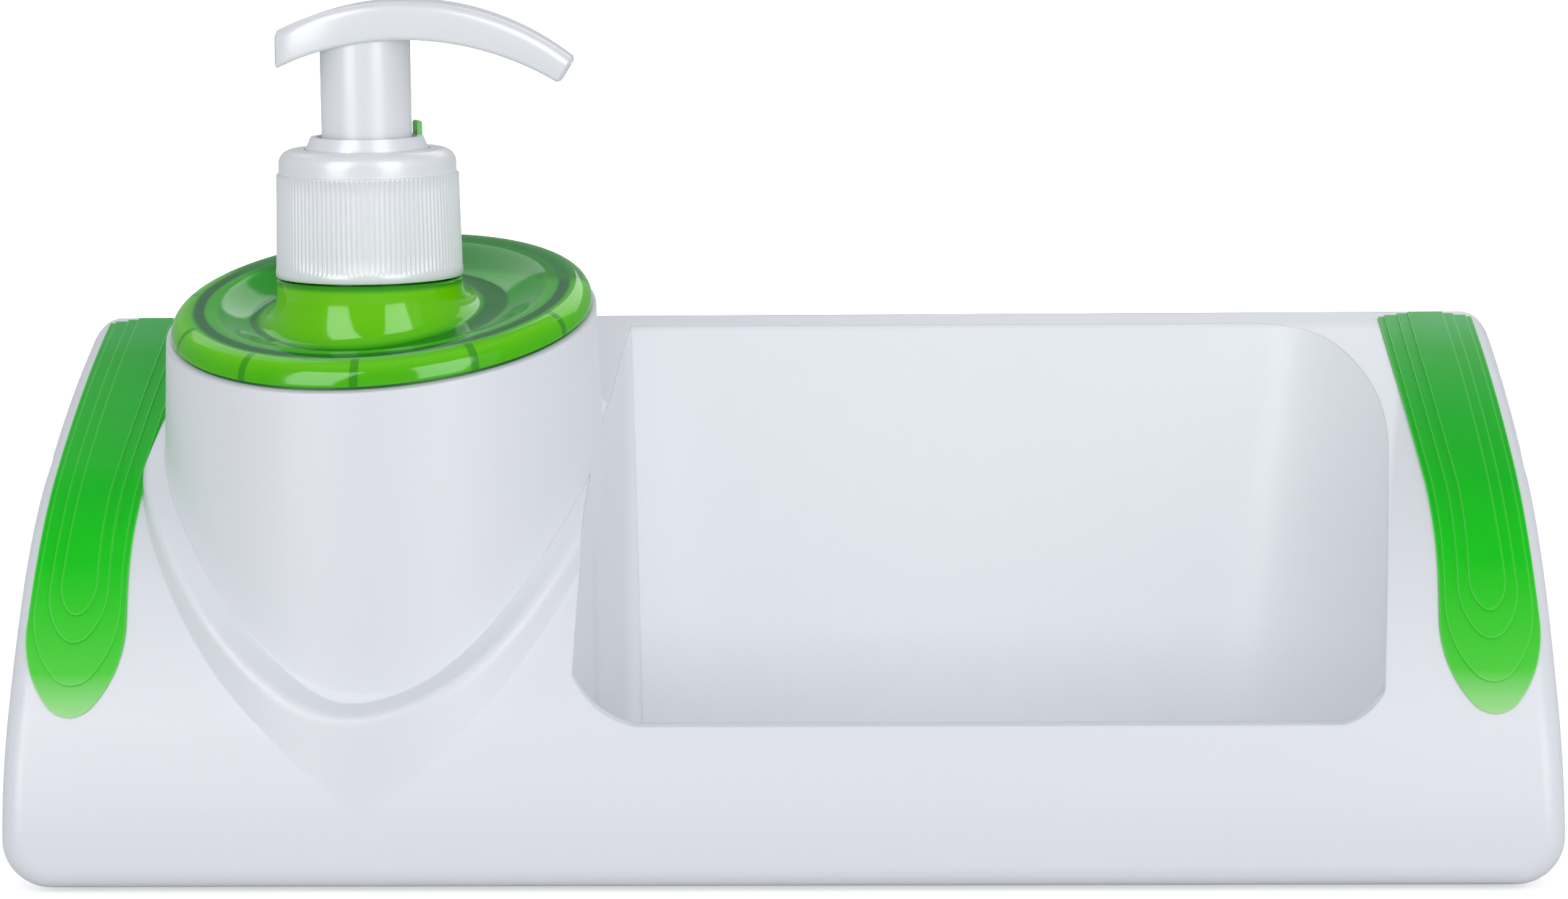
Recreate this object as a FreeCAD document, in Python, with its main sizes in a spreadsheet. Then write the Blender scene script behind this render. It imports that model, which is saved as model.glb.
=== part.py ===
"""Soap pump caddy: a moulded vanity caddy with a soap tower, a lift-off lid and pump, and a sponge bin.

The part stands on the plane Z = 0 with its footprint centred on the origin. The front faces -Y.
Sizes are millimetres and angles are degrees.
"""
import FreeCAD, Part
import Sketcher
import math
import os
import re

SIZES = {
    # Moulded body of the caddy.
    "body_width": 256.8,
    "body_depth": 92.8,
    "body_top": 84.6,
    "body_lift": 0.6,
    "side_lean": 1.8,
    "bottom_corner": 8.0,
    "top_corner": 5.0,
    "front_edge_round": 4.2,
    "toe_height": 8.0,
    "chin_back": 6.0,
    "chin_height": 29.6,
    "brow_back": 18.9,
    "brow_height": 47.6,
    "crest_back": 40.4,
    "crest_height": 64.7,
    # Soap tower with its flared foot.
    "pump_inset": 57.75,
    "tower_shift": 2.0,
    "rim_heading": -13.0,
    "rim_slope": 12.2,
    "rim_height": 89.8,
    "tower_top_radius": 36.5,
    "tower_top_rise": 8.2,
    "tower_foot_radius": 39.7,
    "tower_wall": 2.4,
    "reservoir_floor": 8.0,
    "reservoir_foot_radius": 34.0,
    "flare_tuck": 0.05,
    "flare_side_radius": 900.0,
    "flare_top_radius": 39.2,
    "flare_top_height": 82.0,
    "crease_radius": 38.4,
    "crease_height": 31.0,
    "crease_turn_1": 20.0,
    "crease_rise_1": 4.9,
    "crease_turn_2": 40.0,
    "crease_rise_2": 15.9,
    "crease_turn_3": 60.0,
    "crease_rise_3": 27.6,
    "crease_turn_4": 80.0,
    "crease_rise_4": 35.8,
    "crease_turn_5": 105.0,
    "crease_rise_5": 42.0,
    "crease_turn_6": 135.0,
    "crease_rise_6": 46.0,
    "ledge_run_in": 8.0,
    "ledge_run_out": 14.0,
    "ledge_fall_share": 0.22,
    "ledge_round": 2.0,
    # Sponge bin.
    "bin_floor": 5.0,
    "bin_front_wall": 2.6,
    "bin_back_wall": 5.0,
    "bin_left_front_gap": 33.05,
    "bin_left_back_gap": 42.05,
    "bin_right_front_in": 31.9,
    "bin_right_mid_in": 24.6,
    "bin_right_mid_y": 3.0,
    "bin_corner_in": 29.8,
    "bin_corner_back": 13.4,
    "bin_corner_end_in": 42.1,
    "bin_draft": 1.4,
    "bin_foot_corner_in": 9.0,
    "lip_height": 27.2,
    "lip_left_gap": 34.65,
    "lip_left_width": 12.5,
    "lip_left_rise": 16.0,
    "lip_left_radius": 15.0,
    "lip_right_in": 27.8,
    "lip_right_width": 8.4,
    "lip_right_rise": 12.5,
    "lip_right_radius": 11.0,
    "lip_right_flare": 24.0,
    # Soft grip strips.
    "strip_axis_gap": 11.4,
    "strip_half_width": 8.2,
    "strip_shoulder_height": 30.4,
    "strip_shoulder_share": 0.44,
    "strip_tip_share": 1.54,
    "strip_waist_height": 62.0,
    "strip_waist_in": 1.3,
    "strip_top_out": 2.1,
    "strip_top_lean": 1.8,
    "strip_back_gap": 3.2,
    "strip_depth": 1.6,
    "strip_rise": 0.35,
    "terrace_rise": 0.35,
    "terrace_one_in": 1.0,
    "terrace_one_up": 4.6,
    "terrace_two_in": 3.3,
    "terrace_two_up": 10.6,
    "terrace_three_in": 5.2,
    "terrace_three_up": 14.4,
    # Base plate and feet.
    "plate_inset": 5.0,
    "plate_thickness": 2.0,
    "plate_recess": 0.6,
    "plate_clearance": 0.15,
    "plate_corner": 9.0,
    "foot_radius": 5.0,
    "foot_seat_depth": 0.4,
    "foot_clearance": 0.05,
    "foot_inset_x": 15.0,
    "foot_inset_y": 14.0,
    # Lid.
    "lid_radius": 36.0,
    "lid_height": 4.2,
    "lid_round": 3.2,
    "lid_wall": 2.1,
    "lid_top_wall": 1.8,
    "plug_radius": 31.4,
    "plug_wall": 1.2,
    "plug_depth": 9.0,
    "dish_radius": 29.4,
    "dish_floor_radius": 21.0,
    "dish_depth": 2.8,
    "rib_count": 11,
    "rib_heading": 16.9,
    "rib_thickness": 1.2,
    "rib_clearance": 0.3,
    "rib_drop": 5.0,
    "seal_thickness": 0.6,
    "seal_inset": 0.45,
    "seal_width": 1.4,
    "neck_radius": 15.9,
    "neck_gap": 0.35,
    "neck_round": 2.2,
    "neck_finish_radius": 13.3,
    "neck_finish_height": 15.0,
    "neck_bore_radius": 11.3,
    # Screw collar.
    "collar_rise": 7.55,
    "collar_radius": 15.9,
    "collar_height": 21.7,
    "collar_bead_height": 1.5,
    "collar_bead_rise": 0.1,
    "collar_grip_height": 17.6,
    "collar_grip_top_radius": 15.55,
    "collar_band_radius": 15.15,
    "collar_shoulder_round": 2.4,
    "collar_top_wall": 1.6,
    "collar_bore_clearance": 0.8,
    # Pump closure, housing and inner parts.
    "gasket_thickness": 0.8,
    "flange_radius": 13.0,
    "flange_thickness": 1.2,
    "guide_outer_radius": 10.5,
    "guide_top_radius": 9.6,
    "guide_bore_radius": 8.6,
    "guide_sleeve_radius": 9.5,
    "guide_floor": 1.2,
    "guide_height": 2.1,
    "guide_clearance": 0.2,
    "guide_end_gap": 0.05,
    "guide_fit": 0.03,
    "well_wall": 1.3,
    "well_depth": 9.6,
    "barrel_radius": 5.6,
    "barrel_wall": 1.3,
    "barrel_length": 25.0,
    "barrel_cone_height": 4.0,
    "socket_length": 9.0,
    "socket_wall": 0.9,
    "tube_radius": 2.5,
    "tube_bore_radius": 1.7,
    "tube_fit": 0.02,
    "tube_seat_depth": 7.0,
    "tube_floor_gap": 4.0,
    "inlet_ball_radius": 2.3,
    "inlet_seat_radius": 1.5,
    "ball_lift": 0.05,
    "spring_radius": 4.0,
    "spring_wire_radius": 0.45,
    "spring_turns": 5,
    "spring_end_gap": 0.1,
    "piston_top_gap": 0.1,
    "piston_length": 6.0,
    "piston_clearance": 0.05,
    "plunger_radius": 2.7,
    "plunger_bore_radius": 1.3,
    "plunger_fit": 0.05,
    "piston_fit": 0.02,
    "plunger_rise": 16.4,
    "outlet_ball_radius": 1.1,
    "outlet_cage_radius": 1.6,
    "outlet_cage_depth": 4.0,
    "tab_radius": 9.1,
    "tab_thickness": 0.9,
    "tab_width": 2.6,
    "tab_height": 2.4,
    "tab_heading": 25.0,
    # Pump head.
    "sleeve_radius": 7.7,
    "sleeve_wall": 1.3,
    "sleeve_gap": 0.55,
    "sleeve_height": 13.4,
    "boss_radius": 4.4,
    "boss_reach": 10.0,
    "head_tail_x": -14.8,
    "head_tail_top_rise": 19.6,
    "head_tail_foot_rise": 13.3,
    "head_nose_x": 35.7,
    "head_nose_top_rise": 14.6,
    "head_nose_foot_x": 33.2,
    "head_nose_foot_rise": 10.5,
    "head_top_radius": 47.0,
    "head_foot_radius": 49.6,
    "head_tail_width": 10.4,
    "head_nose_width": 8.4,
    "head_plan_radius": 130.0,
    "head_edge_round": 1.6,
    "nozzle_bore_radius": 1.4,
    "nozzle_bore_depth": 9.0,
    "overrun": 20.0,
    "edge_match": 0.01,
}

PLACES = {
    "pump_x": "(pump_inset - body_width / 2)",
    "tower_x": "(pump_x + tower_shift)",
    "tower_top_height": "(rim_height + tower_top_rise)",
    "bin_left_front": "(pump_x + bin_left_front_gap)",
    "bin_left_back": "(pump_x + bin_left_back_gap)",
    "bin_right_front": "(body_width / 2 - bin_right_front_in)",
    "bin_right_mid": "(body_width / 2 - bin_right_mid_in)",
    "bin_corner_x": "(body_width / 2 - bin_corner_in)",
    "bin_corner_y": "(body_depth / 2 - bin_corner_back)",
    "bin_corner_end_x": "(body_width / 2 - bin_corner_end_in)",
    "lip_left_x": "(pump_x + lip_left_gap)",
    "lip_right_x": "(body_width / 2 - lip_right_in)",
    "collar_foot": "(rim_height + collar_rise)",
    "sleeve_foot": "(collar_foot + collar_height + sleeve_gap)",
    "sleeve_ceiling": "(sleeve_foot + sleeve_height)",
    "plunger_top": "(sleeve_foot + plunger_rise)",
    "boss_foot": "(plunger_top - boss_reach)",
    "head_tail_top": "(sleeve_foot + head_tail_top_rise)",
    "head_tail_foot": "(sleeve_foot + head_tail_foot_rise)",
    "head_nose_top": "(sleeve_foot + head_nose_top_rise)",
    "head_nose_foot": "(sleeve_foot + head_nose_foot_rise)",
}

FACE_UP = FreeCAD.Vector(0, 0, 1)
ALONG_X = FreeCAD.Vector(1, 0, 0)
ALONG_Y = FreeCAD.Vector(0, 1, 0)
NAME = re.compile(r"\b[a-z][a-z_\d]*\b")
FUNCTIONS = {"sin", "cos", "tan", "sqrt"}

document = FreeCAD.newDocument("SoapPumpCaddy")
sheet = document.addObject("Spreadsheet::Sheet", "Sizes")
for row, (alias, amount) in enumerate(SIZES.items(), start=1):
    sheet.set(f"A{row}", str(amount))
    sheet.setAlias(f"A{row}", alias)
document.recompute()


def bound(text):
    """Returns an expression whose names point at the cells of the sheet."""
    def cell(found):
        """Returns a function's name as it is, a place written out and a size as a cell of the sheet."""
        name = found.group()
        if name in PLACES:
            return bound(PLACES[name])
        return name if name in FUNCTIONS else f"Sizes.{name}"

    return NAME.sub(cell, text)


def value(text):
    """Returns the number that an expression over the sizes gives now."""
    result = sheet.evalExpression(bound(text))
    return float(getattr(result, "Value", result))


def bind(item, **expressions):
    """Binds properties of an object to expressions over the sizes."""
    for name, text in expressions.items():
        item.setExpression(name, bound(text))


def place(item, x="0", y="0", z="0", turn=None):
    """Places an object at expressions over the sizes, turned by a rotation where one is given."""
    spot = FreeCAD.Vector(value(x), value(y), value(z))
    item.Placement = FreeCAD.Placement(spot, turn or FreeCAD.Rotation())
    item.setExpression("Placement.Base.x", bound(x))
    item.setExpression("Placement.Base.y", bound(y))
    item.setExpression("Placement.Base.z", bound(z))


def new_body(label):
    """Returns an empty body."""
    body = document.addObject("PartDesign::Body", label)
    body.Label = label
    return body


def new_sketch(body, plane, name):
    """Returns a sketch on one of the origin planes of its own body."""
    sketch = body.newObject("Sketcher::SketchObject", name)
    support = next(item for item in body.Origin.OriginFeatures if item.Role == plane)
    sketch.AttachmentSupport = (support, [""])
    sketch.MapMode = "FlatFace"
    return sketch


def fix_point(sketch, geometry, position, x, y):
    """Ties one point of a sketch to two expressions."""
    for text, kind, axis in ((x, "DistanceX", -2), (y, "DistanceY", -1)):
        if text == "0":
            sketch.addConstraint(Sketcher.Constraint("PointOnObject", geometry, position, axis))
            continue
        number = value(text)
        index = sketch.addConstraint(Sketcher.Constraint(kind, -1, 1, geometry, position, number))
        sketch.setExpression(f"Constraints[{index}]", bound(text))


def outline(sketch, start, steps):
    """Draws a closed outline whose corners are expressions over the sizes.

    Each step is ("line", x, y), ("arc", x, y, radius, turn) with turn 1 to the left and -1 to the
    right, or ("flow", x, y) for an arc that leaves in the direction in which the last step arrived.
    """
    corner = FreeCAD.Vector(value(start[0]), value(start[1]), 0)
    first = None
    last = None
    heading = 0.0
    spot = start
    for step in steps:
        kind, target = step[0], (step[1], step[2])
        end = FreeCAD.Vector(value(target[0]), value(target[1]), 0)
        chord = end - corner
        angle = math.atan2(chord.y, chord.x)
        if kind == "line":
            geometry = sketch.addGeometry(Part.LineSegment(corner, end), False)
            leave, arrive = 1, 2
            heading = angle
        else:
            if kind == "arc":
                radius = value(step[3])
                turn = step[4]
                half = math.asin(min(1.0, chord.Length / 2 / radius))
                arrival = angle + turn * half
            else:
                half = math.remainder(angle - heading, 2 * math.pi)
                turn = 1 if half > 0 else -1
                half = abs(half)
                radius = chord.Length / 2 / math.sin(half)
                arrival = angle + turn * half
            side = angle + turn * math.pi / 2
            rise = radius * math.cos(half)
            middle = (corner + end) * 0.5 + FreeCAD.Vector(math.cos(side), math.sin(side), 0) * rise
            begin = math.atan2(corner.y - middle.y, corner.x - middle.x)
            finish = math.atan2(end.y - middle.y, end.x - middle.x)
            circle = Part.Circle(middle, FACE_UP, radius)
            if turn > 0:
                geometry = sketch.addGeometry(Part.ArcOfCircle(circle, begin, finish), False)
                leave, arrive = 1, 2
            else:
                geometry = sketch.addGeometry(Part.ArcOfCircle(circle, finish, begin), False)
                leave, arrive = 2, 1
            heading = arrival
        if last is None:
            first = (geometry, leave)
            fix_point(sketch, geometry, leave, *spot)
        elif kind == "flow":
            sketch.addConstraint(Sketcher.Constraint("Tangent", last[0], last[1], geometry, leave))
        else:
            sketch.addConstraint(Sketcher.Constraint("Coincident", last[0], last[1], geometry, leave))
        if target != start:
            fix_point(sketch, geometry, arrive, *target)
        if kind == "arc":
            index = sketch.addConstraint(Sketcher.Constraint("Radius", geometry, radius))
            sketch.setExpression(f"Constraints[{index}]", bound(step[3]))
        last = (geometry, arrive)
        corner = end
        spot = target
    sketch.addConstraint(Sketcher.Constraint("Coincident", last[0], last[1], first[0], first[1]))


def circle(sketch, x, y, radius):
    """Draws a circle whose centre and radius are expressions over the sizes."""
    middle = FreeCAD.Vector(value(x), value(y), 0)
    geometry = sketch.addGeometry(Part.Circle(middle, FACE_UP, value(radius)), False)
    fix_point(sketch, geometry, 3, x, y)
    index = sketch.addConstraint(Sketcher.Constraint("Radius", geometry, value(radius)))
    sketch.setExpression(f"Constraints[{index}]", bound(radius))


def revolve(body, start, steps, name="turned"):
    """Adds a full turn of an outline, drawn in radius and height, about the body's Z axis."""
    sketch = new_sketch(body, "XZ_Plane", f"{body.Name}_{name}_outline")
    outline(sketch, start, steps)
    feature = body.newObject("PartDesign::Revolution", f"{body.Name}_{name}")
    feature.Profile = sketch
    feature.ReferenceAxis = (sketch, ["V_Axis"])
    feature.Angle = 360
    document.recompute()
    return feature


def pad(body, plane, start, steps, length, symmetric=True, name="block", offset="0", heading="0"):
    """Adds a straight block of an outline, on a plane that may lie off the origin or be turned upright."""
    sketch = new_sketch(body, plane, f"{body.Name}_{name}_outline")
    turn = FreeCAD.Rotation(ALONG_Y, value(heading))
    sketch.AttachmentOffset = FreeCAD.Placement(FreeCAD.Vector(), turn)
    sketch.setExpression("AttachmentOffset.Base.z", bound(offset))
    outline(sketch, start, steps)
    feature = body.newObject("PartDesign::Pad", f"{body.Name}_{name}")
    feature.Profile = sketch
    feature.SideType = "Symmetric" if symmetric else "One side"
    bind(feature, Length=length)
    document.recompute()
    return feature


def pocket(body, plane, start, steps, name="cut"):
    """Cuts an outline through the whole body, both ways from its plane, and tests that it cut."""
    before = body.Shape.Volume
    sketch = new_sketch(body, plane, f"{body.Name}_{name}_outline")
    outline(sketch, start, steps)
    feature = body.newObject("PartDesign::Pocket", f"{body.Name}_{name}")
    feature.Profile = sketch
    feature.SideType = "Symmetric"
    feature.Type = "ThroughAll"
    document.recompute()
    if body.Shape.Volume >= before:
        raise RuntimeError(f"{feature.Name} cuts nothing")
    return feature


def mirror(body, feature, plane, name="mirrored"):
    """Repeats a feature on the other side of one of the body's origin planes."""
    result = body.newObject("PartDesign::Mirrored", f"{body.Name}_{name}")
    result.Originals = [feature]
    result.MirrorPlane = (next(item for item in body.Origin.OriginFeatures if item.Role == plane), [""])
    body.Tip = result
    document.recompute()
    return result


def ring_of(body, feature, count, name="ring"):
    """Repeats a feature evenly about the body's Z axis."""
    result = body.newObject("PartDesign::PolarPattern", f"{body.Name}_{name}")
    result.Originals = [feature]
    result.Axis = (next(item for item in body.Origin.OriginFeatures if item.Role == "Z_Axis"), [""])
    result.Angle = 360
    bind(result, Occurrences=count)
    body.Tip = result
    document.recompute()
    return result


def fillet(body, base, radius, choose):
    """Rounds the edges of a feature that a test picks."""
    names = [f"Edge{index}" for index, edge in enumerate(base.Shape.Edges, start=1) if choose(edge)]
    feature = body.newObject("PartDesign::Fillet", f"{body.Name}_round")
    feature.Base = (base, names)
    bind(feature, Radius=radius)
    document.recompute()
    return feature


def boolean(kind, label, *parts, refine=True):
    """Joins, cuts or intersects objects and returns the result."""
    if kind == "cut":
        result = document.addObject("Part::Cut", label)
        result.Base, result.Tool = parts
    else:
        result = document.addObject({"join": "Part::MultiFuse", "common": "Part::MultiCommon"}[kind], label)
        result.Shapes = list(parts)
    result.Label = label
    result.Refine = refine
    document.recompute()
    return result


FRONT_STEPS = [
    ("line", "-body_depth / 2", "toe_height"),
    ("flow", "-body_depth / 2 + chin_back", "chin_height"),
    ("flow", "-body_depth / 2 + brow_back", "brow_height"),
    ("flow", "-body_depth / 2 + crest_back", "crest_height"),
    ("flow", "body_depth / 2", "body_top"),
]
TILT = "tan(rim_slope)"


def under_front(label):
    """Returns a block under the curved front, wider than the body."""
    body = new_body(label)
    start = ("-body_depth / 2", "body_lift")
    steps = [*FRONT_STEPS, ("line", "body_depth / 2", "body_lift"), ("line", *start)]
    pad(body, "YZ_Plane", start, steps, "body_width + overrun", name="under_front")
    return body


def cut_above(body, height, name="top_cut"):
    """Cuts a body off above a plane that rises to the back like the tower's rim."""
    reach = "(lid_radius + overrun)"
    pocket(body, "YZ_Plane", (f"-{reach}", f"{height} - {reach} * {TILT}"), [
        ("line", reach, f"{height} + {reach} * {TILT}"),
        ("line", reach, f"{height} + 3 * {reach}"),
        ("line", f"-{reach}", f"{height} + 3 * {reach}"),
        ("line", f"-{reach}", f"{height} - {reach} * {TILT}"),
    ], name=name)


def cut_below(body, height, name="foot_cut"):
    """Cuts a body off below a plane that rises to the back like the tower's rim."""
    reach = "(lid_radius + overrun)"
    pocket(body, "YZ_Plane", (f"-{reach}", f"{height} - {reach} * {TILT}"), [
        ("line", reach, f"{height} + {reach} * {TILT}"),
        ("line", reach, f"{height} - 3 * {reach}"),
        ("line", f"-{reach}", f"{height} - 3 * {reach}"),
        ("line", f"-{reach}", f"{height} - {reach} * {TILT}"),
    ], name=name)


def on_tower(body):
    """Places a body on the tower's axis, turned as the rim is."""
    place(body, "tower_x", turn=FreeCAD.Rotation(FACE_UP, value("rim_heading")))


def on_pump(body):
    """Places a body on the pump's axis."""
    place(body, "pump_x")


def drum(body, inner, outer, foot, top, name="drum"):
    """Adds a ring or a disc about the body's Z axis."""
    start = (inner, foot)
    return revolve(body, start, [("line", outer, foot), ("line", outer, top), ("line", inner, top),
                                 ("line", *start)], name)


def make_hull():
    """Returns the outer form of the moulded body: a leaning block under the curved front."""
    body = under_front("hull_form")
    half, top_half = "body_width / 2", "(body_width / 2 - side_lean)"
    far, high, low = "(body_width / 2 + overrun)", "(body_top + overrun)", "(body_lift - overrun)"
    side = pocket(body, "XZ_Plane", (half, "body_lift + bottom_corner"), [
        ("line", top_half, "body_top - top_corner"),
        ("arc", f"{top_half} - top_corner", "body_top + overrun / 100", "top_corner * 1.1", 1),
        ("line", f"{top_half} - top_corner", high),
        ("line", far, high),
        ("line", far, low),
        ("line", f"{half} - bottom_corner", low),
        ("line", f"{half} - bottom_corner", "body_lift"),
        ("arc", half, "body_lift + bottom_corner", "bottom_corner", 1),
    ], name="right_side")
    mirrored = mirror(body, side, "YZ_Plane")
    return body, mirrored


def round_front(body, feature):
    """Rounds the front face's outer edge: its sides, its bottom corners and its bottom."""
    back = value("body_depth / 2")
    side = value("body_width / 2 - side_lean - top_corner")
    foot = value("body_lift")
    near = value("edge_match")

    def chosen(edge):
        ends = [vertex.Point for vertex in edge.Vertexes]
        middle = edge.CenterOfMass
        at_back = all(abs(end.y - back) < near for end in ends)
        along_y = abs(ends[0].x - ends[1].x) < near and abs(ends[0].z - ends[1].z) < near
        along_y = along_y or edge.Curve.TypeId == "Part::GeomLine" and abs(middle.x) > side
        bottom = abs(middle.z - foot) < near and abs(middle.x) < near and middle.y < 0
        return not at_back and not along_y and (abs(middle.x) > side - 100 * near or bottom)

    return fillet(body, feature, "front_edge_round", chosen)


def crease_points():
    """Returns the points of the closed curve where the ledge meets the tower, from the front round."""
    turns, rises = [0.0], [0.0]
    for number in range(1, 7):
        turns.append(value(f"crease_turn_{number}"))
        rises.append(value(f"crease_rise_{number}"))
    for number in range(6, 0, -1):
        turns.append(360 - turns[number])
        rises.append(rises[number])
    radius, height = value("crease_radius"), value("crease_height")
    points = []
    for turn, rise in zip(turns, rises):
        heading = math.radians(turn)
        across, forward = radius * math.sin(heading), radius * math.cos(heading)
        points.append(FreeCAD.Vector(across, -forward, height + rise))
    return points


def make_ledge_space():
    """Returns the ring above the flare's ledge, an upright section swept along the crease."""
    crease = Part.BSplineCurve()
    crease.interpolate(Points=crease_points(), PeriodicFlag=True)
    radius, height = value("crease_radius"), value("crease_height")
    inner, outer = value("ledge_run_in"), value("ledge_run_out")
    fall = value("ledge_fall_share")
    top = height + value("flare_top_height")
    corners = [
        FreeCAD.Vector(0, inner - radius, height + inner * fall),
        FreeCAD.Vector(0, -outer - radius, height - outer * fall),
        FreeCAD.Vector(0, -outer - radius, top),
        FreeCAD.Vector(0, inner - radius, top),
    ]
    sweep = Part.BRepOffsetAPI.MakePipeShell(Part.Wire([crease.toShape()]))
    sweep.setBiNormalMode(FACE_UP)
    sweep.add(Part.makePolygon([*corners, corners[0]]))
    sweep.build()
    sweep.makeSolid()
    space = document.addObject("Part::Feature", "ledge_space")
    space.Shape = sweep.shape()
    return space


def make_flare():
    """Returns the tower's flared foot, cut back to a rounded ledge that rises round the tower."""
    turned = new_body("flare_turned")
    foot, side = "body_lift + toe_height / 2", "body_depth / 2 - flare_tuck"
    revolve(turned, ("0", foot), [
        ("line", side, foot),
        ("line", side, "toe_height"),
        ("arc", "flare_top_radius", "flare_top_height", "flare_side_radius", 1),
        ("line", "0", "flare_top_height"),
        ("line", "0", foot),
    ])
    stepped = boolean("cut", "flare_stepped", turned, make_ledge_space())
    inside = value("crease_radius - ledge_run_in / 2")
    names = []
    for index, edge in enumerate(stepped.Shape.Edges, start=1):
        outside = all(math.hypot(point.x, point.y) > inside for point in edge.discretize(5))
        if outside and edge.Curve.TypeId == "Part::GeomBSplineCurve":
            names.append(index)
    flare = document.addObject("Part::Fillet", "flare_form")
    flare.Base = stepped
    radius = value("ledge_round")
    flare.Edges = [(index, radius, radius) for index in names]
    document.recompute()
    place(flare, "tower_x")
    return flare


def make_tower():
    """Returns the outer form of the soap tower, cut off by the sloping plane of its rim."""
    body = new_body("tower_form")
    start = ("0", "body_lift + toe_height")
    revolve(body, start, [
        ("line", "tower_foot_radius", "body_lift + toe_height"),
        ("line", "tower_top_radius", "tower_top_height"),
        ("line", "0", "tower_top_height"),
        ("line", *start),
    ])
    cut_above(body, "rim_height")
    on_tower(body)
    return body


def make_reservoir_space():
    """Returns the space inside the tower that holds the soap."""
    body = new_body("reservoir_space")
    bore = "(tower_top_radius - tower_wall)"
    start = ("0", "reservoir_floor")
    revolve(body, start, [
        ("line", "reservoir_foot_radius", "reservoir_floor"),
        ("line", bore, "rim_height"),
        ("line", bore, "tower_top_height + overrun"),
        ("line", "0", "tower_top_height + overrun"),
        ("line", *start),
    ])
    on_tower(body)
    return body


def bin_outline(sketch, shift, corner_in):
    """Draws the plan of the sponge bin, drawn in by a draft, with its large back corner."""
    front, back = "-body_depth / 2 - overrun", "(body_depth / 2 - bin_back_wall)"
    left = f"bin_left_front + {shift}"
    outline(sketch, (left, front), [
        ("line", f"bin_right_front - {shift}", front),
        ("line", f"bin_right_mid - {shift}", f"bin_right_mid_y - 2 * {corner_in}"),
        ("flow", f"bin_corner_x - {shift} - {corner_in} / 2", f"bin_corner_y - {corner_in} / 2"),
        ("flow", f"bin_corner_end_x - {shift} - 2 * {corner_in}", f"{back} - {shift}"),
        ("line", f"bin_left_back + {shift}", f"{back} - {shift}"),
        ("line", left, front),
    ])


def make_bin_space():
    """Returns the sponge bin's full plan as a drafted block."""
    body = new_body("bin_plan")
    sections = []
    for name, height, shift, corner in (("foot", "bin_floor", "bin_draft", "bin_foot_corner_in"),
                                        ("top", "body_top + toe_height", "0", "0")):
        sketch = new_sketch(body, "XY_Plane", f"bin_{name}_plan")
        sketch.setExpression("AttachmentOffset.Base.z", bound(height))
        bin_outline(sketch, f"({shift})", f"({corner})")
        sections.append(sketch)
    loft = body.newObject("PartDesign::AdditiveLoft", "bin_walls")
    loft.Profile = sections[0]
    loft.Sections = [(sections[1], [""])]
    loft.Ruled = True
    document.recompute()
    return body


def make_bin_mouth():
    """Returns the block that opens the front face, with the lip's rounded corners."""
    body = new_body("bin_mouth")
    high = "(body_top + overrun)"
    left, right = "lip_left_x", "lip_right_x"
    start = (f"{left} + lip_left_width", "lip_height")
    pad(body, "XZ_Plane", start, [
        ("line", f"{right} - lip_right_width", "lip_height"),
        ("arc", right, "lip_height + lip_right_rise", "lip_right_radius", 1),
        ("line", f"{right} + lip_right_flare", high),
        ("line", f"{left} - lip_right_flare / 2", high),
        ("line", left, "lip_height + lip_left_rise"),
        ("arc", *start, "lip_left_radius", 1),
    ], "body_depth + 2 * overrun", name="mouth")
    return body


def strip_outline(inset, lift):
    """Returns the outline of the right strip or of one of its terraces, as seen from the front."""
    axis = "(body_width / 2 - strip_axis_gap)"
    half = f"(strip_half_width - {inset})"
    shoulder = f"(strip_shoulder_height + {lift})"
    wide = f"({shoulder} + strip_tip_share * {half})"
    high = "(body_top + overrun)"
    start = (f"{axis} + {half}", wide)
    return start, [
        ("line", f"{axis} + {half} - strip_top_lean", "body_top"),
        ("line", f"{axis} + {half} - strip_top_lean", high),
        ("line", f"{axis} - {half} - strip_top_out", high),
        ("line", f"{axis} - {half} - strip_top_out", "body_top"),
        ("flow", f"{axis} - {half} + strip_waist_in", "strip_waist_height"),
        ("line", f"{axis} - {half}", wide),
        ("flow", f"{axis} - strip_shoulder_share * {half}", shoulder),
        ("flow", f"{axis} + strip_shoulder_share * {half}", shoulder),
        ("flow", *start),
    ]


def strip_block(label, inset, lift, left):
    """Returns one strip outline as a block along Y, ending short of the back."""
    body = new_body(label)
    start, steps = strip_outline(inset, lift)
    if left:
        start = (f"-({start[0]})", start[1])
        steps = [(step[0], f"-({step[1]})", step[2]) for step in steps]
    pad(body, "XZ_Plane", start, steps, "body_depth - 2 * strip_back_gap", name="strip")
    return body


TERRACES = [
    ("0", "0"),
    ("terrace_one_in", "terrace_one_up"),
    ("terrace_two_in", "terrace_two_up"),
    ("terrace_three_in", "terrace_three_up"),
]


def make_strip_faces():
    """Returns the floor of the strips' recess and the tops of their terraces, as shifted fronts."""
    floor = under_front("strip_floor")
    place(floor, y="strip_depth * sqrt(0.5)", z="-strip_depth * sqrt(0.5)")
    tops = []
    for level in range(len(TERRACES)):
        top = under_front(f"terrace_top_{level}")
        rise = f"(strip_rise + {level} * terrace_rise) * sqrt(0.5)"
        place(top, y=f"-{rise}", z=rise)
        tops.append(top)
    return floor, tops


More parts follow.
